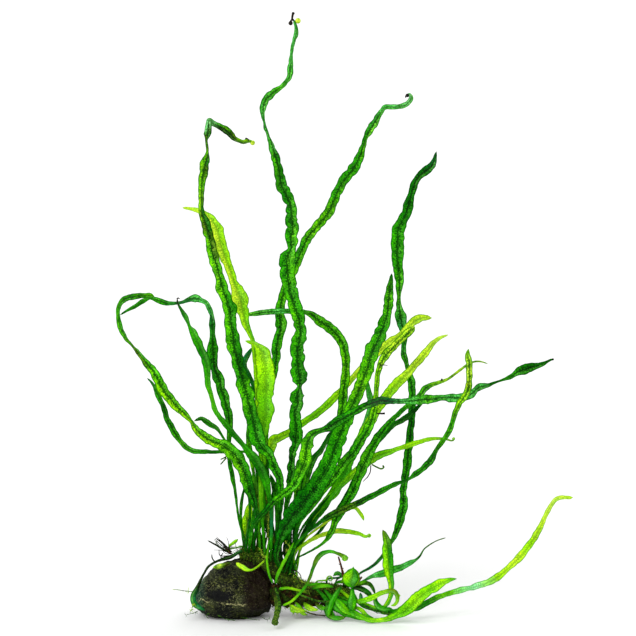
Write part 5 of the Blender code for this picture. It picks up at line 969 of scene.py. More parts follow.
# %% The shades of each frond, from its foot to its tip
TONES = {
    "frond_tall_middle": (
        "deep dark green dark green green green fresh green green dark fresh mint fresh mint mint",
        "deep dark green green green dark green green fresh fresh green dark mint fresh mint dark",
    ),
    "frond_high_hook": (
        "deep dark dark green green dark green green fresh green bright green green green mint ice",
        "deep dark green green green green fresh fresh bright fresh bright fresh green bright mint ice",
    ),
    "frond_folded_tip": (
        "deep deep dark dark dark green green green green fresh green green green fresh fresh green green "
        "fresh fresh fresh fresh bright bright bright bright bright olive lime lime bright lime bright olive "
        "ice ice fresh olive lime lime",
        "deep deep deep deep dark dark green green green green green green green fresh fresh dark dark green "
        "green green green fresh fresh olive olive dark dark olive bright olive dark dark soot ice soot soot "
        "olive lime",
    ),
    "frond_lime_narrow": (
        "dark green green bright lime lime lime pale pale pale pale",
        "deep green green green fresh green bright lime lime lime pale",
    ),
    "frond_dark_short": "dark deep dark teal",
    "frond_lime_broad": "green green bright bright bright bright lime lime",
    "frond_arch": "deep dark dark green fresh fresh bright fresh fresh mint bright",
    "frond_broad_front": "deep dark dark dark green green fresh bright fresh green fresh dark",
    "frond_tall_back": (
        "green teal green green green green dark green green teal fresh green green dark dark teal"
    ),
    "frond_dotted": "dark green green fresh fresh green fresh lime lime pale pale",
    "frond_teal_back": "dark green mint mint green",
    "frond_lime_right": "deep dark lime bright green fresh bright lime lime pale pale yellow",
    "frond_bent_right": (
        "deep green dark dark fresh fresh bright fresh dark green dark dark teal mint fresh mint mint dark "
        "green dark dark"
    ),
    "frond_creased": "dark dark fresh dark deep",
    "frond_lime_long": "green green bright lime lime bright lime pale pale pale pale",
    "frond_thread_tip": "dark green fresh green fresh green green fresh pale yellow",
    "frond_thin_dark": "deep dark dark dark deep",
    "frond_upturned": (
        "deep dark green dark dark olive dark green dark green dark fresh green lime pale yellow lime"
    ),
    "frond_lime_curl": "deep lime lime green fresh lime bright lime lime olive",
    "frond_young_tip": "green lime pale pale lime",
    "frond_lime_low": "green bright lime pale pale lime lime",
    "frond_low_broad": "green green dark green bright lime bright bright lime bright lime green",
    "frond_low_long": "green dark green green dark bright ice lime pale lime pale yellow pale",
    "frond_upright_low": ("dark fresh lime lime lime bright olive", "deep dark green fresh green dark olive"),
    "frond_loop": "bright lime bright lime olive lime",
    "frond_teal_low": "dark teal mint green mint dark olive olive",
    "leaf_folded": "green green fresh bright lime bright",
    "leaf_teal_small": "teal teal green",
    "leaf_dark_arch": "dark olive dark",
    "leaf_dark_flat": "soot dark green",
    "leaf_crumpled": "green green dark fresh",
    "leaf_round": "dark green bright lime",
    "leaf_lime_tiny": "bright lime",
    "stem_brown": "brown brown",
    "stalk_old_left": "teal soot soot soot soot teal teal",
    "stalk_mossy": "olive olive dark",
    "frond_left_broad": (
        "dark dark dark green bright bright lime lime lime bright olive fresh fresh green bright",
        "deep dark dark dark green fresh bright bright bright fresh fresh green green green fresh",
    ),
    "frond_left_tall": (
        "dark green green green dark fresh green green dark green teal mint teal green green dark"
    ),
    "frond_left_straight": (
        "deep green teal dark green dark green dark green fresh green dark green dark soot"
    ),
    "frond_left_low": "dark green dark green dark green fresh dark green fresh green dark green teal",
    "frond_left_small": "dark dark green green dark",
    "frond_lime_foot": "bright lime lime bright",
    "frond_thin_foot": "dark green dark",
    "frond_dotted_foot": "green fresh olive green",
    "crozier_large": "bright lime fresh green olive dark olive dark green olive green",
    "stem_front_left": "green bright green",
    "stem_front_right": "green bright fresh",
    "stem_across": "fresh lime olive",
    "runner_lime": "pale lime pale",
    "leaf_dead_yellow": "olive brown olive yellow olive lime",
    "root_left_1": "soot soot",
    "root_left_2": "soot soot",
    "root_left_3": "soot soot",
    "root_middle": "soot soot",
    "root_ground": "soot brown",
    "crozier_small": "bright lime bright",
}

HABITS = {
    "frond_tall_middle": {"lobes": 0.13, "ruffle": 0.2},
    "frond_high_hook": {"lobes": 0.08, "ruffle": 0.2},
    "frond_folded_tip": {"lobes": 0.08, "fold": 0.24},
    "frond_broad_front": {"lobes": 0.06, "ruffle": 0.22},
    "frond_left_broad": {"ruffle": 0.22},
    "leaf_crumpled": {"ruffle": 0.4},
    "leaf_dead_yellow": {"ruffle": 0.4},
}

# %% Where the outline of a blade is worth following
# Seen points on its margins
MARGINS = {
    "frond_tall_middle": [
        (25.5, 200.9), (24.9, 197.8), (25.8, 193.8), (24.9, 187.6), (26, 182.5), (22.5, 180), (21.9, 176.4),
        (22.8, 173.4), (23, 166.2), (24, 163), (27.6, 149.8), (29.7, 140.7), (27.9, 136.6), (27.4, 131.5),
        (28.4, 123.4), (28.8, 116.2), (31.2, 114.2), (27.6, 110),
        (31.1, 196.8), (31.4, 187.6), (30.5, 181.5), (30.1, 169.3), (31.7, 162.1), (33.7, 152.9), (35, 145.8),
        (35.8, 136.6), (34.3, 134.6), (34.8, 129.5), (36.3, 117.2), (33.7, 114.2),
    ],
}

# %% The feet on the rhizome
STALK_HALF = 0.6
STALK_RISE = 2.0
FOOT_GAP = 0.35


def on_rhizome(along, around):
    """A stalk's foot just off the rhizome's skin, and its way out; around is 0 on top and 90 to the eye."""
    stem = world_route(RHIZOME)
    where = along * (len(stem) - 1)
    here = spline_at(stem, where)
    forward = Vector(spline_at(stem, min(where + 0.05, len(stem) - 1))[:3])
    backward = Vector(spline_at(stem, max(where - 0.05, 0))[:3])
    line = (forward - backward).normalized()
    up = (Vector((0, 0, 1)) - line * line.z).normalized()
    out = Matrix.Rotation(math.radians(around), 3, line) @ up
    if out.y * around > 0:
        out = Matrix.Rotation(math.radians(-around), 3, line) @ up
    return Vector(here[:3]) + out * (here[3] + FOOT_GAP), out


def leaving_rhizome(foot, half):
    start, out = on_rhizome(*foot)
    half = min(STALK_HALF, half)
    return [(*start, half, 0), (*(start + out * STALK_RISE), half, 0)]


# %% All the blades
# Two young fronds already carry the full pattern of a grown one
PATTERNED_YOUNG = ("frond_upturned", "frond_left_low")


def dress_blade(name, slot, points, number):
    margins = MARGINS.get(name, ())
    blade = lay_blade(name + "_blade", points, TONES[name], HABITS.get(name, {}), 3.7 * number, margins)
    finish = FINISHES[MATURE if name in PATTERNED_YOUNG else slot]
    finish_piece(blade, finish, slot, name)
    return len(blade.data.polygons)


# Blades of the dense core, whose deep shades are painted shade among the crowded stalks
# Short and half hidden blades that fill the crowded foot: shades, foot on the rhizome, route
INNER = [
    ("deep dark deep dark", (0.2, 5), [
        (12.3, 38, 0, 0.6), (12.6, 50, 0, 0.7), (12.7, 58, 0, 0.8), (12.2, 66, 0, 1), (10.5, 74, 0, 0.8),
        (9.6, 80, 0, 0.3)]),
    ("deep deep olive dark deep", (0.27, 20), [
        (15.6, 44, -6, 0.8), (16.2, 54, -8, 0.9), (16.2, 62, -9, 1.6), (15.2, 70, -9, 1.8),
        (14.6, 78, -9, 2.3), (14.2, 86, -8, 2), (14, 93, -7, 0.6)]),
    ("deep dark green dark", (0.33, 35), [
        (21, 36, -7, 0.7), (21.3, 46, -8, 1.1), (20.8, 54, -9, 1.3), (19.8, 62, -9, 1.5),
        (18.6, 67, -9, 1.1), (17.6, 70, -9, 0.3)]),
    ("deep green fresh bright fresh green", (0.19, -10), [
        (11.5, 45, 1, 0.5), (10.5, 60, 1, 0.6), (9.3, 70, 1, 0.8), (7.8, 80, 1, 1.3), (6.7, 88, 1, 1.3),
        (6.9, 95, 1, 0.9), (7.4, 100, 1, 0.3)]),
    ("deep deep dark green", (0.4, 15), [
        (28, 45, -3, 0.8), (31.5, 56, -4, 1.1), (33.5, 63, -5, 1.3), (34.8, 70, -5, 1.4),
        (36.5, 77, -6, 0.9), (37, 80, -6, 0.3)]),
    ("deep dark green bright green", (0.38, 30), [
        (27.5, 44, -5, 0.8), (30.3, 56, -7, 1.3), (31.3, 65, -8, 1.8), (31.7, 73, -8, 1.5),
        (31.5, 77.5, -8, 0.4)]),
    ("deep dark dark green fresh", (0.415, 5), [
        (31, 45, -2, 0.9), (38, 56, -2, 1.1), (43, 66, -2, 1.6), (46.5, 74, -2, 2), (47.8, 80, -2, 1.8),
        (48.6, 85.5, -2, 0.6)]),
    ("deep deep dark dark", (0.425, 20), [
        (27.5, 26, 0, 0.7), (30.5, 32, 0, 0.8), (34, 40, 0, 0.9), (38, 47, 0, 1), (43, 54, 0, 0.8),
        (48, 60, 0, 0.3)]),
    ("deep dark dark green", (0.43, 40), [
        (28.5, 27, -2, 0.7), (32, 34, -2, 0.8), (35.5, 40, -3, 0.9), (39.5, 46, -4, 1), (43, 50.5, -4, 0.8),
        (47, 54, -4, 0.3)]),
    ("deep deep dark", (0.39, 0), [
        (25, 30, 1, 0.9), (25.5, 40, 1, 1), (25.2, 50, 1, 1.1), (26, 60, 1, 0.5)]),
    ("deep dark deep", (0.3, -10), [
        (18, 36, 0, 0.8), (17.6, 46, 0, 0.9), (18.6, 56, 0, 1.1), (20, 66, 0, 0.5)]),
    ("deep green dark", (0.12, 10), [
        (8.3, 36, -2, 0.7), (8.6, 44, -3, 0.8), (9.8, 52, -4, 0.9), (11.3, 60, -5, 0.4)]),
    ("deep dark green", (0.33, 48), [
        (21.4, 40, -9.5, 0.3), (21.9, 52, -10.5, 0.4), (21.4, 60, -11, 0.6), (20.5, 66, -11, 0.2)]),
]

# Small loose leaves among the others at the low end: shades and route
LITTER = [
    (("green fresh lime bright fresh", "dark dark green dark green"), [
        (58.9, 13.4, -14, 0.9), (58.1, 14.8, -15, 2.7), (57.8, 16.8, -15.5, 3.7), (58.4, 19, -15, 3.5),
        (58.9, 21.2, -14.6, 1.9), (59.2, 23.8, -14, 0.2)]),
    ("dark green green green dark", [
        (48.6, 6.4, -12, 1.3), (51, 3.8, -14, 2.5), (55, 1.6, -15.5, 2.7), (60, -0.4, -17.5, 1.9),
        (66, -2.6, -19, 1.1), (72, -3, -19, 0.4)]),
    (("dark green green fresh green", "green fresh green dark dark"), [
        (58.6, 12.6, -13, 0.9), (58.8, 9.4, -15, 1.6), (58.6, 6.4, -17, 2.3), (58.4, 3.6, -18, 2.1),
        (58.6, 1.6, -18.5, 0.8)]),
    ("deep teal deep", [(62.7, 10.4, -13, 0.6), (62.9, 8, -14.5, 1), (62, 5.4, -15, 0.4)]),
    ("dark green green fresh", [
        (53, 13.4, -7, 0.6), (51, 10.6, -11, 1.1), (49, 7, -13.5, 1.4), (47.4, 2.6, -15.5, 1.2),
        (46.8, -1.2, -17, 0.3)]),
    ("green fresh bright fresh", [
        (49.5, 8.4, -11, 0.9), (52, 5.4, -14.5, 1.9), (55, 2.2, -16.5, 2.1), (58.5, -0.8, -18, 0.4)]),
    ("deep dark green dark", [
        (70.6, 10, -19, 0.7), (70.2, 6.6, -19.5, 1.2), (71.8, 3.8, -20, 1.4), (75, 2.5, -20, 1.2),
        (78.6, 2.7, -20, 0.8)]),
    ("bright lime green dark", [
        (60.5, 3.4, -14.5, 0.9), (63, 2, -16, 1.1), (66.4, -1, -18, 0.9), (70, -2.6, -19, 0.3)]),
    ("olive green olive", [
        (46.5, -0.4, -15, 0.7), (49.4, -1.9, -17, 1.2), (53, -2, -17.5, 1), (55.5, -1.4, -17.5, 0.3)]),
    ("olive bright olive", [(53.2, 15.4, -5, 0.5), (54.4, 18, -6, 0.7), (55.2, 21, -6.5, 0.3)]),
    ("olive bright dark", [(60.4, 14.6, -6, 0.8), (63.6, 15.8, -5, 0.9), (66.6, 16.4, -4.5, 0.3)]),
    ("deep soot dark deep", [
        (58.8, 12.8, -7, 0.8), (62, 13, -8, 1.3), (65.4, 11.8, -9, 1.2), (68.6, 9.6, -9.5, 0.5)]),
    ("deep green dark", [
        (50, 9.4, -8, 0.8), (52.6, 6.4, -12, 1.2), (56, 5.2, -14.5, 1.2), (61, 5.6, -16, 0.4)]),
    ("dark green fresh dark green", [
        (76.6, 1.2, -17, 0.9), (80, 0.8, -18.5, 1.4), (84, 2.6, -19, 1.5), (88, 5.2, -19, 0.4)]),
    ("dark bright green", [
        (38.5, 12.6, -9, 0.5), (42.4, 13.8, -8.5, 0.9), (46.5, 14, -8, 0.8), (49.5, 13.4, -8, 0.3)]),
    ("green fresh dark", [
        (35.5, 14.4, -7, 0.4), (38.6, 14.6, -6.5, 0.7), (42.4, 15, -5.5, 0.6), (45.6, 15.6, -4.5, 0.3)]),
    ("lime pale lime", [
        (27.8, 4.4, -10.5, 0.7), (29.4, 2.6, -11.5, 1.7), (32, 1.8, -12, 1.3), (35.6, 1.4, -12, 0.4)]),
    ("bright lime lime", [(28.6, 4, -10, 0.8), (28.8, 1.6, -11.5, 1.3), (29.4, 0.2, -12, 0.5)]),
    ("olive lime pale lime", [
        (34.6, 5.8, -6, 0.5), (36, 3.6, -9.5, 1.5), (39, 2.4, -11.5, 1.2), (42, 2, -12, 0.3)]),
    ("brown olive fresh brown", [
        (40, 5.8, -6, 0.5), (42, 3.8, -9, 1.1), (45, 2.8, -11, 0.9), (47.6, 2.6, -12, 0.3)]),
    ("olive bright lime olive", [
        (30, 6, -7.5, 0.4), (31.6, 4, -10, 1), (33.6, 0.6, -11.5, 1.1), (36.4, -0.6, -12, 0.3)]),
]

faces = 0
hidden = [(shades, leaving_rhizome(foot, route[0][3]) + world_route(route)) for shades, foot, route in INNER]
loose = [(shades, world_route(route)) for shades, route in LITTER]
for number, (shades, points) in enumerate(hidden + loose):
    blade = lay_blade(f"inner_blade_{number + 1}", points, shades, {}, 5.3 * number + 1.9)
    slot = MATURE if number < len(INNER) else YOUNG
    finish_piece(blade, FINISHES[slot], slot)
    faces += len(blade.data.polygons)
for number, (name, (slot, foot, route)) in enumerate(FRONDS.items()):
    faces += dress_blade(name, slot, leaving_rhizome(foot, route[0][3]) + world_route(route), number)
for number, (name, (slot, route)) in enumerate(LOOSE.items(), len(FRONDS)):
    faces += dress_blade(name, slot, world_route(route), number)
print("faces on all blades:", faces)

# %% [markdown]
# A young frond of a fern comes up rolled into a crozier. The tiny one in front of the rhizome is one flat
# spiral on a short stalk, so its route is worked out instead of chosen.

# %% The tiny crozier
CROZIER_FOOT = (0.72, 5)
CROZIER_MIDDLE = (47.5, 17.6, -2.5)
CROZIER_RADIUS = 1.6
CROZIER_TURNS = 1.2
CROZIER_POINTS = 12
CROZIER_START = math.radians(200)
CROZIER_TIGHTENING = 0.62
CROZIER_ADVANCE = 1.2
CROZIER_HALF = 0.4
CROZIER_TIP_HALF = 0.25


def crozier_points():
    start, out = on_rhizome(*CROZIER_FOOT)
    points = [(*start, CROZIER_HALF, 0), (*(start + out * STALK_RISE / 2), CROZIER_HALF, 0)]
    for part in np.linspace(0, 1, CROZIER_POINTS + 1):
        angle = CROZIER_START - 2 * math.pi * CROZIER_TURNS * part
        radius = CROZIER_RADIUS * (1 - CROZIER_TIGHTENING * part)
        round_it = (Vector((1, 0, 0)) * math.cos(angle) + UPWARD * math.sin(angle)) * radius
        point = seen(*CROZIER_MIDDLE) + round_it - AHEAD * CROZIER_ADVANCE * part
        points.append((*point, CROZIER_HALF + (CROZIER_TIP_HALF - CROZIER_HALF) * part, 0))
    return points


CROZIER_SEED = 60
print("faces on the tiny crozier:", dress_blade("crozier_small", YOUNG, crozier_points(), CROZIER_SEED))

# %% [markdown]
# The stone is a worn lump: a squashed ball, lower on its left, roughened and cut flat underneath so that it
# stands firmly. It follows the same lump as its solid, and then gets finer pits and ridges of its own.

# %% The stone's shape
STONE_SIZE = (39.0, 36.0)
STONE_TOP = 20.0
STONE_BOTTOM = 10.0
STONE_MIDDLE_HEIGHT = 8.0
STONE_LEFT_SLOPE = 0.15
STONE_ROUGHNESS = 1.9
STONE_SEED = Vector((3.7, 1.2, 8.4))
GRAIN_SEED = Vector((9.1, 4.4, 2.6))
LUMP_SCALE = 1.6
CHIP_SCALE = 7
GRAIN_SCALE = 6.5
STONE_DETAIL = 7
SHARPEST_SMOOTH = math.radians(50)


def on_stone(way):
    """Where the stone's skin lies in this direction from its middle, in millimetres."""
    lump = noise.fractal(way * LUMP_SCALE + STONE_SEED, 0.8, 2.1, 4) * STONE_ROUGHNESS
    chips = noise.cell(way * CHIP_SCALE + GRAIN_SEED) * 0.16
    chips += noise.fractal(way * GRAIN_SCALE + GRAIN_SEED, 0.9, 2.2, 5) * 0.5
    tall = STONE_TOP if way.z > 0 else STONE_BOTTOM
    slope = 1 - STONE_LEFT_SLOPE * max(-way.x, 0) if way.z > 0 else 1
    place = Vector((way.x * STONE_SIZE[0] / 2, way.y * STONE_SIZE[1] / 2, way.z * tall * slope))
    return place + way * (lump + chips) + Vector((0, 0, STONE_MIDDLE_HEIGHT))


deselect_all()
bpy.ops.mesh.primitive_ico_sphere_add(subdivisions=STONE_DETAIL, radius=1)
stone = bpy.context.object
stone.name = "stone_skin"
for vertex in stone.data.vertices:
    vertex.co = on_stone(vertex.co.copy()) * MM
bpy.ops.object.mode_set(mode="EDIT")
bpy.ops.mesh.select_all(action="SELECT")
bpy.ops.mesh.bisect(plane_co=(0, 0, 0), plane_no=(0, 0, 1), use_fill=True, clear_inner=True)
bpy.ops.mesh.select_all(action="SELECT")
bpy.ops.mesh.normals_make_consistent(inside=False)
bpy.ops.object.mode_set(mode="OBJECT")
bpy.ops.object.shade_smooth_by_angle(angle=SHARPEST_SMOOTH)
print("stone faces:", len(stone.data.polygons))

# %% [markdown]
# Its surface is nearly black, with olive and grey-green specks, a dark reddish right end and a blue-green
# left end; the right end is darkened further with painted shade under the rhizome. A hollow in its front
# is painted black as its shade, its pits and its lower part are darkened with painted shade, golden specks
# are brightened into painted glints where light falls above it, and one pale crack, broken in the middle,
# runs across below. A picture of a stone would have seams and blur close up, so all of this is painted by
# place, measured in millimetres from the middle of the underside.

# %% The patterns in the stone
STREAK_STRETCH = (0.6, 0.7, 1.7)

# The middle of the hollow, stretched like the streaks
HOLLOW_MIDDLE = (-6.0, -12.6, 22.0)


def place_in_mm(tree):
    where = add_node(tree, "ShaderNodeTexCoord").outputs["Object"]
    return add_node(tree, "ShaderNodeVectorMath", {0: where, "Scale": 1000.0}, operation="SCALE").outputs[0]


stone_finish, tree, surface = new_finish("dark stone", 0.62)
spot = place_in_mm(tree)
axes = add_node(tree, "ShaderNodeSeparateXYZ", {"Vector": spot}).outputs
stretching = add_node(tree, "ShaderNodeVectorMath", {0: spot, 1: STREAK_STRETCH}, operation="MULTIPLY")
layers = stretching.outputs[0]
broad = clouds(tree, spot, 0.13, 3, 0.6)
streaks = clouds(tree, layers, 0.8, 8, 0.8)
rough = clouds(tree, spot, 1.1, 8, 0.85)
fine = times(tree, plus(tree, streaks, rough), 0.5)
wandering = clouds(tree, spot, 0.2, 3)
grains = cells(tree, spot, 1.5)
small_grains = cells(tree, spot, 2.6)
from_hollow = add_node(tree, "ShaderNodeVectorMath", {0: layers, 1: HOLLOW_MIDDLE}, operation="DISTANCE")
hollow_edge = plus(tree, from_hollow.outputs["Value"], times(tree, rough, 5.0))
print("stone patterns:", len(tree.nodes), "nodes")

# %% The stone's colours, laid one over the other
mixed = plus(tree, times(tree, broad, 0.35), times(tree, fine, 0.65))
left_side = fade(tree, axes["X"], 9.0, -6.0)
grey = times(tree, fade(tree, fine, 0.545, 0.59), left_side)
olive = times(tree, fade(tree, wandering, 0.48, 0.6), fade(tree, fine, 0.48, 0.56))
# The reddish right end, darkened further as painted shade under the rhizome
red_shaded_end = times(tree, fade(tree, axes["X"], 2.0, 9.0), fade(tree, axes["Z"], 1.0, 7.0))
teal_end = times(tree, fade(tree, axes["X"], -13.0, -19.0), fade(tree, fine, 0.42, 0.6))
gold = times(tree, fade(tree, small_grains, 0.3, 0.18), fade(tree, fine, 0.49, 0.55))
# Where light falls above it: the golden specks there are brightened into painted glints
lit_band = times(tree, fade(tree, axes["Z"], 6.0, 11.0), fade(tree, axes["Z"], 21.0, 15.0))
lit = times(tree, lit_band, fade(tree, axes["X"], 8.0, 0.0))
# Painted shade in the pits
pit_shade = times(tree, fade(tree, grains, 0.34, 0.12), fade(tree, fine, 0.54, 0.46))
# Painted shade: the hollow in the front is painted near black
hollow_shade = times(tree, fade(tree, hollow_edge, 8.3, 7.1), 0.95)

STONE_LAYERS = {
    "grey specks": (grey, paint(122, 130, 84)),
    "olive film": (times(tree, olive, 0.6), paint(84, 92, 22)),
    "reddish shaded end": (times(tree, red_shaded_end, 0.85), paint(26, 14, 6)),
    "blue-green end": (teal_end, paint(52, 104, 78)),
    "golden specks and glints": (times(tree, gold, plus(tree, 0.3, lit)), paint(206, 200, 138)),
    "pit_shade": (pit_shade, paint(14, 16, 12)),
    "hollow_shade": (hollow_shade, paint(5, 6, 8)),
}
colour = blend_colour(tree, fade(tree, mixed, 0.485, 0.565), paint(5, 7, 5), paint(54, 60, 34))
for mask, shade in STONE_LAYERS.values():
    colour = blend_colour(tree, mask, colour, shade)
# Painted shade, darker towards the ground
low = times(tree, fade(tree, axes["Z"], 8.0, 2.0), 0.75)
colour = blend_colour(tree, low, colour, (0.35, 0.4, 0.3), "MULTIPLY")
print("stone layers:", ", ".join(STONE_LAYERS))

# %% The stone's pale crack, and its relief
CRACK_LEVEL = 4.6
CRACK_GAP_MIDDLE = -9.5

crack_height = plus(tree, CRACK_LEVEL, times(tree, wandering, 8.0))
crack_off = minus(tree, axes["Z"], plus(tree, crack_height, times(tree, fine, 1.6)))
crack_line = fade(tree, maths(tree, "ABSOLUTE", crack_off), 0.42, 0.08)
crack_span = times(tree, fade(tree, axes["X"], -20.0, -17.0), fade(tree, axes["X"], 7.0, 4.0))
from_gap = maths(tree, "ABSOLUTE", minus(tree, axes["X"], CRACK_GAP_MIDDLE))
crack_parts = times(tree, crack_span, fade(tree, from_gap, 2.4, 3.8))
crack_seen = times(tree, crack_parts, fade(tree, rough, 0.42, 0.56))
crack = times(tree, crack_line, crack_seen)
colour = blend_colour(tree, crack, colour, paint(186, 182, 126))
tree.links.new(colour, surface.inputs["Base Color"])
height = plus(tree, times(tree, fine, 1.2), times(tree, grains, 0.5))
bump(tree, surface, height, 0.7, 0.5)
finish_piece(stone, stone_finish, "stone", "stone")
print("stone finish:", len(tree.nodes), "nodes")

# %% [markdown]
# The rhizome is a thick creeping stem, covered in dark scales and moss. A curve with a bevel would give a
# smooth hose, so it is rolled from a sheet like the blades, and every point of its cross sections is moved
# in or out. It is a little thicker than its solid, so that the foot of each stalk sinks into it.

# %% The rhizome and its offshoot
BARK_COLUMNS = 56
BARK_STATION = 0.4
SCALE_LENGTH = 1.7


def lay_stem(name, points, extra):
    along, line = even_line(points, BARK_STATION)
    place, radius = line[:, :3], line[:, 3]
    ends = np.minimum(along + 0.05, along[-1] - along + 0.05) / 1.6
    radius = (radius + extra) * np.sqrt(np.clip(ends * (2 - np.minimum(ends, 1)), 0, 1))
    ahead = unit(np.gradient(place, axis=0))
    side = unit(np.cross(ahead, np.array(AHEAD)))
    face = np.cross(side, ahead)
    angle = np.linspace(0, 2 * math.pi, BARK_COLUMNS + 1)
    ways = side[:, None] * np.cos(angle)[:, None] + face[:, None] * np.sin(angle)[:, None]
    rings = place[:, None] + ways * radius[:, None, None]
    for ring, far, wide, out in zip(rings, along, radius, ways):
        for column in range(BARK_COLUMNS):
            spot = Vector(ring[column])
            scale = (far / SCALE_LENGTH + 1.3 * noise.noise(spot / 2.4)) % 1
            swell = 0.3 * noise.fractal(spot / 1.6, 0.8, 2.1, 3) + 0.22 * (scale**2 - 0.4)
            ring[column] += out[column] * swell * min(wide, 1)
        ring[-1] = ring[0]
    piece = open_sheet(name, rings)
    close_sheet(piece)
    return piece


def bark_finish(name, dark, middle, light, earth, shaded):
    """Bark in three shades with earthy hollows, and shaded between two heights in millimetres."""
    finish, tree, surface = new_finish(name, 0.7)
    spot = place_in_mm(tree)
    broad = clouds(tree, spot, 0.35, 3)
    fine = clouds(tree, spot, 1.7, 4, 0.6)
    colour = blend_colour(tree, fade(tree, broad, 0.42, 0.6), dark, middle)
    colour = blend_colour(tree, fade(tree, fine, 0.55, 0.7), colour, light)
    colour = blend_colour(tree, fade(tree, fine, 0.48, 0.36), colour, earth)
    height = add_node(tree, "ShaderNodeSeparateXYZ", {"Vector": spot}).outputs["Z"]
    colour = blend_colour(tree, fade(tree, height, *shaded), colour, (0.3, 0.22, 0.2), "MULTIPLY")
    tree.links.new(colour, surface.inputs["Base Color"])
    bump(tree, surface, plus(tree, fine, cells(tree, spot, 1.3)), 0.8, 0.35)
    return finish


old_bark = bark_finish(
    "mossy bark", dark=paint(20, 44, 6), middle=paint(66, 104, 16), light=paint(128, 150, 36),
    earth=paint(58, 34, 14), shaded=(5, 1),
)
young_bark = bark_finish(
    "young bark", dark=paint(52, 88, 12), middle=paint(100, 144, 28), light=paint(156, 188, 62),
    earth=paint(40, 54, 12), shaded=(9, 13),
)

# name: (route, how much thicker than the route in mm, bark)
STEMS = {
    "rhizome": (RHIZOME, 0.4, old_bark),
    "rhizome_offshoot": (OFFSHOOT, 0.0, young_bark),
}
for name, (route, extra, bark) in STEMS.items():
    stem = lay_stem(name + "_bark", world_route(route), extra)
    finish_piece(stem, bark, "rhizome", name)
    print(name, "faces:", len(stem.data.polygons))

# %% [markdown]
# Wiry black roots hang from the rhizome and grip the stone, and dark moss grows between them. Each root is
# a thin line with a radius at every point. Many such lines go into one curve object with a round bevel,
# which is then turned into a mesh: far lighter than one object for each root.

# %% Wires: roots, moss and dead tips
GROUND = 0.3
WIRE_STATION = 0.4


def lay_wires(name, lines, finish, slot, corners=1):
    """Tubes through lines of (x, y, z, radius) in millimetres, all in one piece."""
    curve = bpy.data.curves.new(name, "CURVE")
    curve.dimensions = "3D"
    curve.bevel_depth = MM
    curve.bevel_resolution = corners
    curve.use_fill_caps = True
    for line in lines:
        strand = curve.splines.new("POLY")
        strand.points.add(len(line) - 1)
        for point, (x, y, z, radius) in zip(strand.points, line):
            point.co = (x * MM, y * MM, max(z, GROUND + radius) * MM, 1)
            point.radius = radius
    piece = bpy.data.objects.new(name, curve)
    bpy.context.scene.collection.objects.link(piece)
    deselect_all()
    piece.select_set(True)
    bpy.context.view_layer.objects.active = piece
    bpy.ops.object.convert(target="MESH")
    bpy.ops.object.shade_smooth()
    piece = bpy.context.object
    finish_piece(piece, finish, slot)
    print(name, "strands:", len(lines), "faces:", len(piece.data.polygons))
    return piece


def wire(points, radius, tip):
    """A smooth line through given seen points (across, up, depth), from one radius to another."""
    along, line = even_line([(*seen(*point), 0) for point in points], WIRE_STATION)
    return [(*point[:3], radius + (tip - radius) * far / along[-1]) for far, point in zip(along, line)]


def grow(start, way, length, radius, rng, droop=0.0, crook=0.35, steps=9):
    """A crooked strand that grows from start: it turns a little at every step, and sinks with droop."""
    place, way = Vector(start), Vector(way).normalized()
    line = []
    for step in range(steps + 1):
        line.append((*place, radius * (1 - 0.6 * step / steps)))
        turn = Vector((rng.gauss(0, 1), rng.gauss(0, 1), rng.gauss(0, 1))) * crook
        way = (way + turn + Vector((0, 0, -droop))).normalized()
        place = place + way * length / steps
    return line


def plain_finish(name, dark, light, roughness, scale=0.8):
    """A finish whose colour wanders between a dark and a light shade."""
    finish, tree, surface = new_finish(name, roughness)
    patches = clouds(tree, place_in_mm(tree), scale, 3)
    colour = blend_colour(tree, fade(tree, patches, 0.4, 0.62), dark, light)
    tree.links.new(colour, surface.inputs["Base Color"])
    return finish


root_finish = plain_finish("black root", paint(8, 8, 5), paint(40, 30, 14), 0.55)
moss_finish = plain_finish("dark moss", paint(14, 50, 4), paint(70, 118, 16), 0.7)
bright_moss = plain_finish("young moss", paint(104, 146, 20), paint(184, 212, 60), 0.7)
lime_finish = plain_finish("yellow bud", paint(150, 190, 30), paint(214, 236, 70), 0.5)
bud_finish = plain_finish("green bud", paint(70, 150, 20), paint(150, 212, 50), 0.5)
thorn_finish = plain_finish("brown thorn", paint(48, 18, 10), paint(118, 66, 40), 0.6)
stub_finish = plain_finish("stalk stub", paint(10, 52, 6), paint(52, 116, 16), 0.5, 0.35)
print("finishes so far:", len(bpy.data.materials))

# %% Stubs of old stalks, hair roots and moss along the rhizome
STUBS = 46
HAIR_ROOTS = 330
SUNK = 0.2

rng = random.Random(11)


def on_bark(along, around):
    """A point on the rhizome's skin and the way out of it; around is 0 on top and 90 towards the eye."""
    start, out = on_rhizome(along, around)
    return start - out * (FOOT_GAP + SUNK), out


stubs = []
for _ in range(STUBS):
    along = rng.uniform(0.04, 0.4)
    start, out = on_bark(along, rng.uniform(-45, 60))
    lean = Vector((1.1 * along - 0.12 + rng.gauss(0, 0.09), -0.1 + rng.gauss(0, 0.15), 1))
    length, radius = rng.uniform(8, 24), rng.uniform(0.28, 0.62)
    stubs.append(grow(start, lean + out * 0.1, length, radius, rng, crook=0.06, steps=10))
lay_wires("stalk_stubs", stubs, stub_finish, "frond_dark", 1)

hairs = []
for _ in range(HAIR_ROOTS):
    along = rng.uniform(0.1, 0.97)
    start, out = on_bark(along, rng.uniform(60, 180) * rng.choice((1, 1, -1)))
    length = rng.uniform(2, 9) if along > 0.4 else rng.uniform(1.5, 5)
    radius = rng.uniform(0.07, 0.16)
    hairs.append(grow(start, out + Vector((0, 0, -0.5)), length, radius, rng, droop=0.2, crook=0.4))
lay_wires("hair_roots", hairs, root_finish, "root", 0)


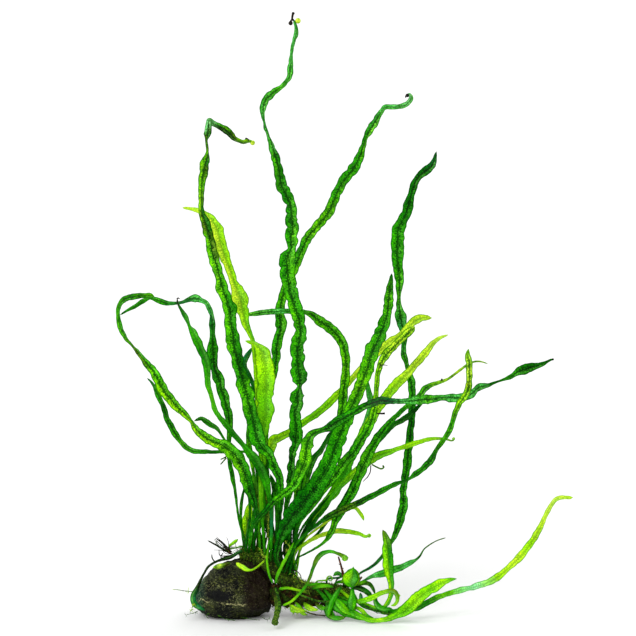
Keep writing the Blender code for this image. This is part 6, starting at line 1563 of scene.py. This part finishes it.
def fuzz(name, count, around, length, finish, seed, span=(0.0, 0.97)):
    """Short crooked strands all over a stretch of the rhizome, between two angles round it."""
    rng = random.Random(seed)
    strands = []
    for _ in range(count):
        start, out = on_bark(rng.uniform(*span), rng.uniform(*around))
        reach, radius = rng.uniform(*length), rng.uniform(0.08, 0.17)
        strands.append(grow(start, out, reach, radius, rng, droop=0.05, crook=0.5, steps=5))
    lay_wires(name, strands, finish, "rhizome", 0)


fuzz("rhizome_moss", 1300, (-150, 150), (0.6, 2.6), moss_finish, seed=12)
fuzz("young_moss_left", 110, (-60, 90), (0.8, 3.2), bright_moss, seed=13, span=(0.0, 0.24))
fuzz("young_moss_right", 420, (-40, 95), (0.8, 2.6), bright_moss, seed=14, span=(0.5, 0.97))
fuzz("stalk_moss", 420, (-60, 90), (1.5, 5.5), moss_finish, seed=15, span=(0.0, 0.45))

# %% [markdown]
# Under the rhizome the roots are matted with old leaf scraps and mud into a dense lump that reaches the
# ground. The lump could be thousands of roots, but nobody sees into it. It is four balls drawn out and
# roughened point by point, with loose root ends all over them.

# %% The root mat
# name: (middle as the eye sees it, half its size along each axis)
MATS = {
    "root_mat_grip": ((20, 9.6, -4), (4.2, 6.5, 6.2)),
    "root_mat_left": ((26, 8.2, -3), (6.4, 6, 5.4)),
    "root_mat_middle": ((36, 7.4, -1), (8.5, 6, 3.8)),
    "root_mat_right": ((49, 6.6, 0), (7.5, 6, 3.6)),
}
MAT_DETAIL = 6
MAT_ROOTS = 130
MAT_SEED_STEP = 7.3


def matted(way, size, seed):
    """The way from a mat's middle to its rough skin in this direction, in millimetres."""
    rough = 0.86 + 0.22 * noise.fractal(way * 2.6 + Vector((seed, 0, 0)), 0.8, 2.2, 4)
    return Vector((way.x * size[0], way.y * size[1], way.z * size[2])) * rough


mat_finish, tree, surface = new_finish("root mat", 0.75)
spot = place_in_mm(tree)
streaks = clouds(tree, spot, 1.1, 5, 0.7)
broad = clouds(tree, spot, 0.3, 2)
colour = blend_colour(tree, fade(tree, streaks, 0.42, 0.6), paint(24, 17, 6), paint(84, 58, 22))
colour = blend_colour(tree, times(tree, fade(tree, broad, 0.44, 0.56), 0.8), colour, paint(46, 84, 12))
colour = blend_colour(tree, fade(tree, streaks, 0.6, 0.7), colour, paint(140, 140, 60))
tree.links.new(colour, surface.inputs["Base Color"])
bump(tree, surface, plus(tree, streaks, cells(tree, spot, 1.6)), 0.9, 0.4)

mat_ends = []
for number, (name, (middle, size)) in enumerate(MATS.items()):
    deselect_all()
    bpy.ops.mesh.primitive_ico_sphere_add(subdivisions=MAT_DETAIL, radius=1)
    mat = bpy.context.object
    mat.name = name
    centre = seen(*middle)
    for vertex in mat.data.vertices:
        place = centre + matted(vertex.co.copy(), size, number * MAT_SEED_STEP)
        place.z = max(place.z, GROUND)
        vertex.co = place * MM
    bpy.ops.object.shade_smooth()
    finish_piece(mat, mat_finish, "root")
    for _ in range(MAT_ROOTS):
        way = Vector((rng.gauss(0, 1), rng.gauss(-0.4, 1), rng.gauss(0, 1))).normalized()
        start = centre + matted(way, size, number * MAT_SEED_STEP) * 0.97
        length, radius = rng.uniform(1.5, 6), rng.uniform(0.08, 0.17)
        mat_ends.append(grow(start, way, length, radius, rng, droop=0.12, crook=0.5))
    print(name, "faces:", len(mat.data.polygons))
lay_wires("mat_root_ends", mat_ends, root_finish, "root", 0)

# %% [markdown]
# What is left are the small things that a photograph of a real plant is full of: dead hooks and buds at the
# tips, thorns where a leaflet broke off, wiry roots on the old end of the rhizome, and sprigs of moss along
# the stone. They are wires as well, each along its own few points, and a bud is a short wire that swells
# and thins again.

# %% Tips, buds and single roots
# Seen points, the radius at the foot and the radius at the tip
BLACK_WIRES = [
    ([(29, 300.2, 15), (28.7, 298.8, 15), (28.5, 297.2, 15)], 0.6, 0.5),
    ([(29.4, 297, 15), (28.4, 297, 15), (27.7, 295.6, 15), (28, 294.6, 15)], 0.5, 0.6),
    ([(6.8, 236.6, 11), (6.2, 237.6, 11.2), (5.4, 237.4, 11.4)], 0.5, 0.3),
    ([(86.4, 259.6, 31.5), (85.6, 259.2, 31.2), (85.2, 258.2, 31)], 0.55, 0.3),
    ([(-29, 157.5, -5), (-28.4, 158, -4.8), (-27.8, 157.6, -4.6)], 0.4, 0.25),
    ([(72.6, 124.4, 6.5), (74.6, 124.5, 6.5), (76.3, 124.3, 6.5)], 0.35, 0.15),
    ([(70.5, 100.3, 4), (73, 100.2, 4), (75, 100.3, 4)], 0.3, 0.55),
    ([(103.2, 116.6, 7.6), (103.5, 117.7, 7.6)], 0.5, 0.4),
    ([(-1.5, 31, 0), (-6, 33.8, -1), (-10.3, 37.6, -1)], 0.3, 0.14),
    ([(-1.5, 30, 1), (-5.4, 34, 1), (-8, 37.4, 2)], 0.3, 0.12),
    ([(-2, 31.3, 0), (-5.4, 35.2, 0), (-9.4, 38.6, 0)], 0.22, 0.1),
    ([(-3.4, 32.1, 0), (-3.2, 35.6, 0), (-4.2, 38.4, 0)], 0.18, 0.1),
    ([(-5, 33.2, 0), (-8.4, 33.6, 0), (-9.6, 35.6, 0)], 0.18, 0.1),
    ([(-1.6, 30.4, -1), (-3.6, 30, -2), (-5.6, 31, -2), (-5.4, 33, -2)], 0.22, 0.12),
    ([(-2, 30, -1), (-6.5, 31.8, -2), (-10.5, 32, -2)], 0.26, 0.1),
    ([(-1, 29.5, 0), (-5, 29, -2), (-7.6, 29.4, -3), (-8, 31.8, -3)], 0.34, 0.2),
    ([(-1, 29, 1), (-4.5, 28.6, 0), (-7, 28.2, -1), (-6, 30.5, -1)], 0.38, 0.25),
    ([(-9.8, 25.8, -2), (-11.2, 27.4, -2), (-11.6, 29.6, -2)], 0.3, 0.2),
    ([(27.5, 38, 2), (29.5, 41, 2), (31.3, 44.3, 2)], 0.22, 0.16),
    ([(26, 34.4, 2), (28.6, 38, 2.5), (32.3, 42.4, 3)], 0.22, 0.14),
    ([(22, 31, -12), (22.6, 28.6, -12.5), (22, 26.5, -12.5)], 0.25, 0.16),
    ([(24.3, 33, -12), (25.7, 30.6, -12.5), (25.6, 27.6, -12.5), (24.6, 26, -12.5)], 0.25, 0.14),
    ([(28, 21.8, -6), (30.5, 21.6, -7), (32.6, 19.6, -8), (33.2, 17.4, -8)], 0.3, 0.2),
    ([(27.5, 21, -6), (30, 19.6, -7), (32, 17.2, -8)], 0.3, 0.2),
    ([(32, 2, -9), (38, 0.4, -9.5), (45, -1.2, -9.5)], 0.2, 0.12),
    ([(66, 68, -7), (67.6, 71, -7), (67.9, 74.2, -7)], 0.25, 0.3),
    ([(64, 66.2, -7), (66.4, 68.6, -7)], 0.16, 0.25),
]
BROWN_WIRES = [
    ([(54.3, 18, -1), (53.2, 23.4, -1), (51.7, 28.6, -1)], 0.65, 0.4),
    ([(53.4, 22.4, -1), (54.4, 23, -1)], 0.3, 0.15),
    ([(53, 24.6, -1), (51.8, 25, -1)], 0.3, 0.15),
    ([(61.2, 15.6, -10), (63.4, 18.6, -10)], 0.55, 0.45),
    ([(-0.6, 29.4, 0), (-3.4, 31.4, 0.4), (-5.2, 33, 0.4)], 0.42, 0.2),
]
GREEN_WIRES = [
    ([(20.4, 13, -12.4), (21.4, 9, -15.8), (22.3, 5, -20.6), (22, 1, -25.6)], 0.75, 0.9),
    ([(30.5, 10.6, -12.5), (36, 8.2, -12.5), (42, 6.4, -12), (48, 6.2, -12)], 0.55, 0.5),
    ([(65, 4, -16), (69, 2.4, -17), (74, 0.8, -18), (79, -0.4, -18.5)], 0.45, 0.35),
    ([(-4.2, 78.8, -20), (-5.6, 78, -20), (-7.2, 77.3, -20)], 0.35, 0.3),
    ([(-4.4, 78, -20), (-5.8, 76.4, -20), (-7.2, 74.8, -20)], 0.4, 0.3),
    ([(68.4, 74.8, -5), (71, 73.4, -5.5), (73.2, 72.6, -6), (74.4, 73.4, -6), (73.8, 74.2, -6)], 0.4, 0.45),
    ([(21, 15.5, -13.5), (22.2, 17, -14), (23.4, 17, -14.2), (23.5, 16, -14.2), (22.9, 15.8, -14.2)],
     0.35, 0.25),
    ([(73, 123.5, 6.5), (74, 125.5, 6.5)], 0.3, 0.2),
    ([(-21, 11.2, -12), (-24, 11.4, -12), (-28, 12, -12), (-31.3, 12.4, -12)], 0.2, 0.14),
]
# name: (finish, places as (across, up, depth, radius))
BUDS = {
    "tip_bud_dark": (root_finish, [
        (27.8, 295.4, 15, 1.1), (29.1, 300.3, 15, 0.75), (86.2, 259.3, 31.2, 0.95), (5.6, 237.6, 11.3, 0.6),
        (158.9, 127.3, 12, 0.6)]),
    "tip_bud_lime": (lime_finish, [(31.5, 296.6, 15, 1.4), (8.8, 235.6, 11.5, 1.25)]),
    "tip_bud_green": (bud_finish, [
        (54.9, 27.9, -18, 1.5), (109.3, 87.6, 0, 0.8), (67.1, 39.2, -5, 1.05), (82, 9.2, -18, 0.7)]),
}


def bud(across, up, depth, radius):
    """A round bud: a short line that swells and thins again."""
    middle = seen(across, up, depth)
    return [(*(middle + UPWARD * radius * math.sin(angle)), max(radius * math.cos(angle), 0.05))
            for angle in np.linspace(-1.5, 1.5, 11)]


black_lines = [wire(*strand) for strand in BLACK_WIRES]
lay_wires("black_tips_and_roots", black_lines, root_finish, "root", 2)
lay_wires("brown_stubs", [wire(*strand) for strand in BROWN_WIRES], thorn_finish, "root", 2)
lay_wires("green_shoots", [wire(*strand) for strand in GREEN_WIRES], moss_finish, "frond_green", 2)
for name, (finish, places) in BUDS.items():
    lay_wires(name, [bud(*place) for place in places], finish, "frond_lime", 4)

# %% Moss sprigs on the stone and on the ground
# name: (finish, radius, stems as (seen points, number of leaflets, their length))
SPRIGS = {
    "moss_fringe_dark": (moss_finish, 0.14, [
        ([(-18.5, 1.5, -14), (-21, 0.5, -15), (-24.5, -0.5, -15)], 9, 1.4),
        ([(-13.5, 0.6, -17), (-14.2, -1.4, -18.5), (-13, -2.4, -19)], 8, 1.2),
        ([(-8.5, -0.8, -19), (-4, -2.6, -19.5), (0, -3.2, -19.5)], 12, 1.1),
        ([(3, -1.6, -19), (8, -2.6, -19.5), (12.5, -3, -19.5)], 10, 1.0),
        ([(13.5, -1.5, -18), (15.6, -2.8, -19), (17.4, -2.4, -19)], 8, 1.3),
        ([(66.5, 3, -16), (71, 0.6, -17), (78.5, -0.8, -18)], 14, 1.2),
        ([(-10, 36.4, 0), (-7.4, 33.6, 0), (-3, 31.4, 0), (2, 30, 0)], 22, 1.9),
        ([(-6, 33, 2), (-2, 33.6, 2), (2, 33.2, 2), (5, 33.4, 2)], 22, 2.2),
        ([(0, 36, 1), (0.8, 33, 1), (1.4, 30.5, 1)], 10, 1.6),
    ]),
    "moss_fringe_young": (bright_moss, 0.16, [
        ([(-20.2, 5.4, -13), (-21.4, 3, -14), (-22.6, 0.8, -15)], 16, 1.7),
        ([(27.5, 4.6, -9), (29.5, 2.6, -10), (33, 1.8, -10), (37, 1, -10)], 34, 2.4),
        ([(27.8, 3, -9), (28.6, 1.2, -10), (31, 0.4, -10)], 22, 2.0),
        ([(-23.5, 10.4, -12), (-23.1, 13, -12)], 6, 0.7),
        ([(-31.3, 12.4, -12), (-28, 12, -12), (-24, 11.3, -12)], 12, 1.0),
        ([(17, 59, -7), (16.8, 50, -7), (16.5, 41, -6), (16.6, 32, -6)], 60, 1.5),
        ([(12.5, 33, -5), (13.5, 30, -7), (16, 28, -9)], 26, 2.2),
        ([(25, 36.5, -11), (27.3, 33, -11.5), (25, 31.4, -12)], 20, 1.4),
        ([(28.6, 20.4, -6), (31.4, 18.6, -7), (34, 15.8, -8)], 22, 2.0),
    ]),
}


def sprig(points, leaflets, length, radius, rng):
    """A stem with short crooked leaflets on both sides of it."""
    stem = wire(points, radius, radius * 0.6)
    strands = [stem]
    for _ in range(leaflets):
        x, y, z, _ = stem[rng.randrange(len(stem))]
        way = Vector((rng.gauss(0, 1), rng.gauss(0, 0.7), rng.gauss(0.1, 1)))
        reach = length * rng.uniform(0.5, 1.2)
        strands.append(grow((x, y, z), way, reach, radius * 0.9, rng, crook=0.3, steps=4))
    return strands


for name, (finish, radius, sprigs) in SPRIGS.items():
    strands = [strand for made in sprigs for strand in sprig(*made, radius, rng)]
    lay_wires(name, strands, finish, "rhizome", 1)
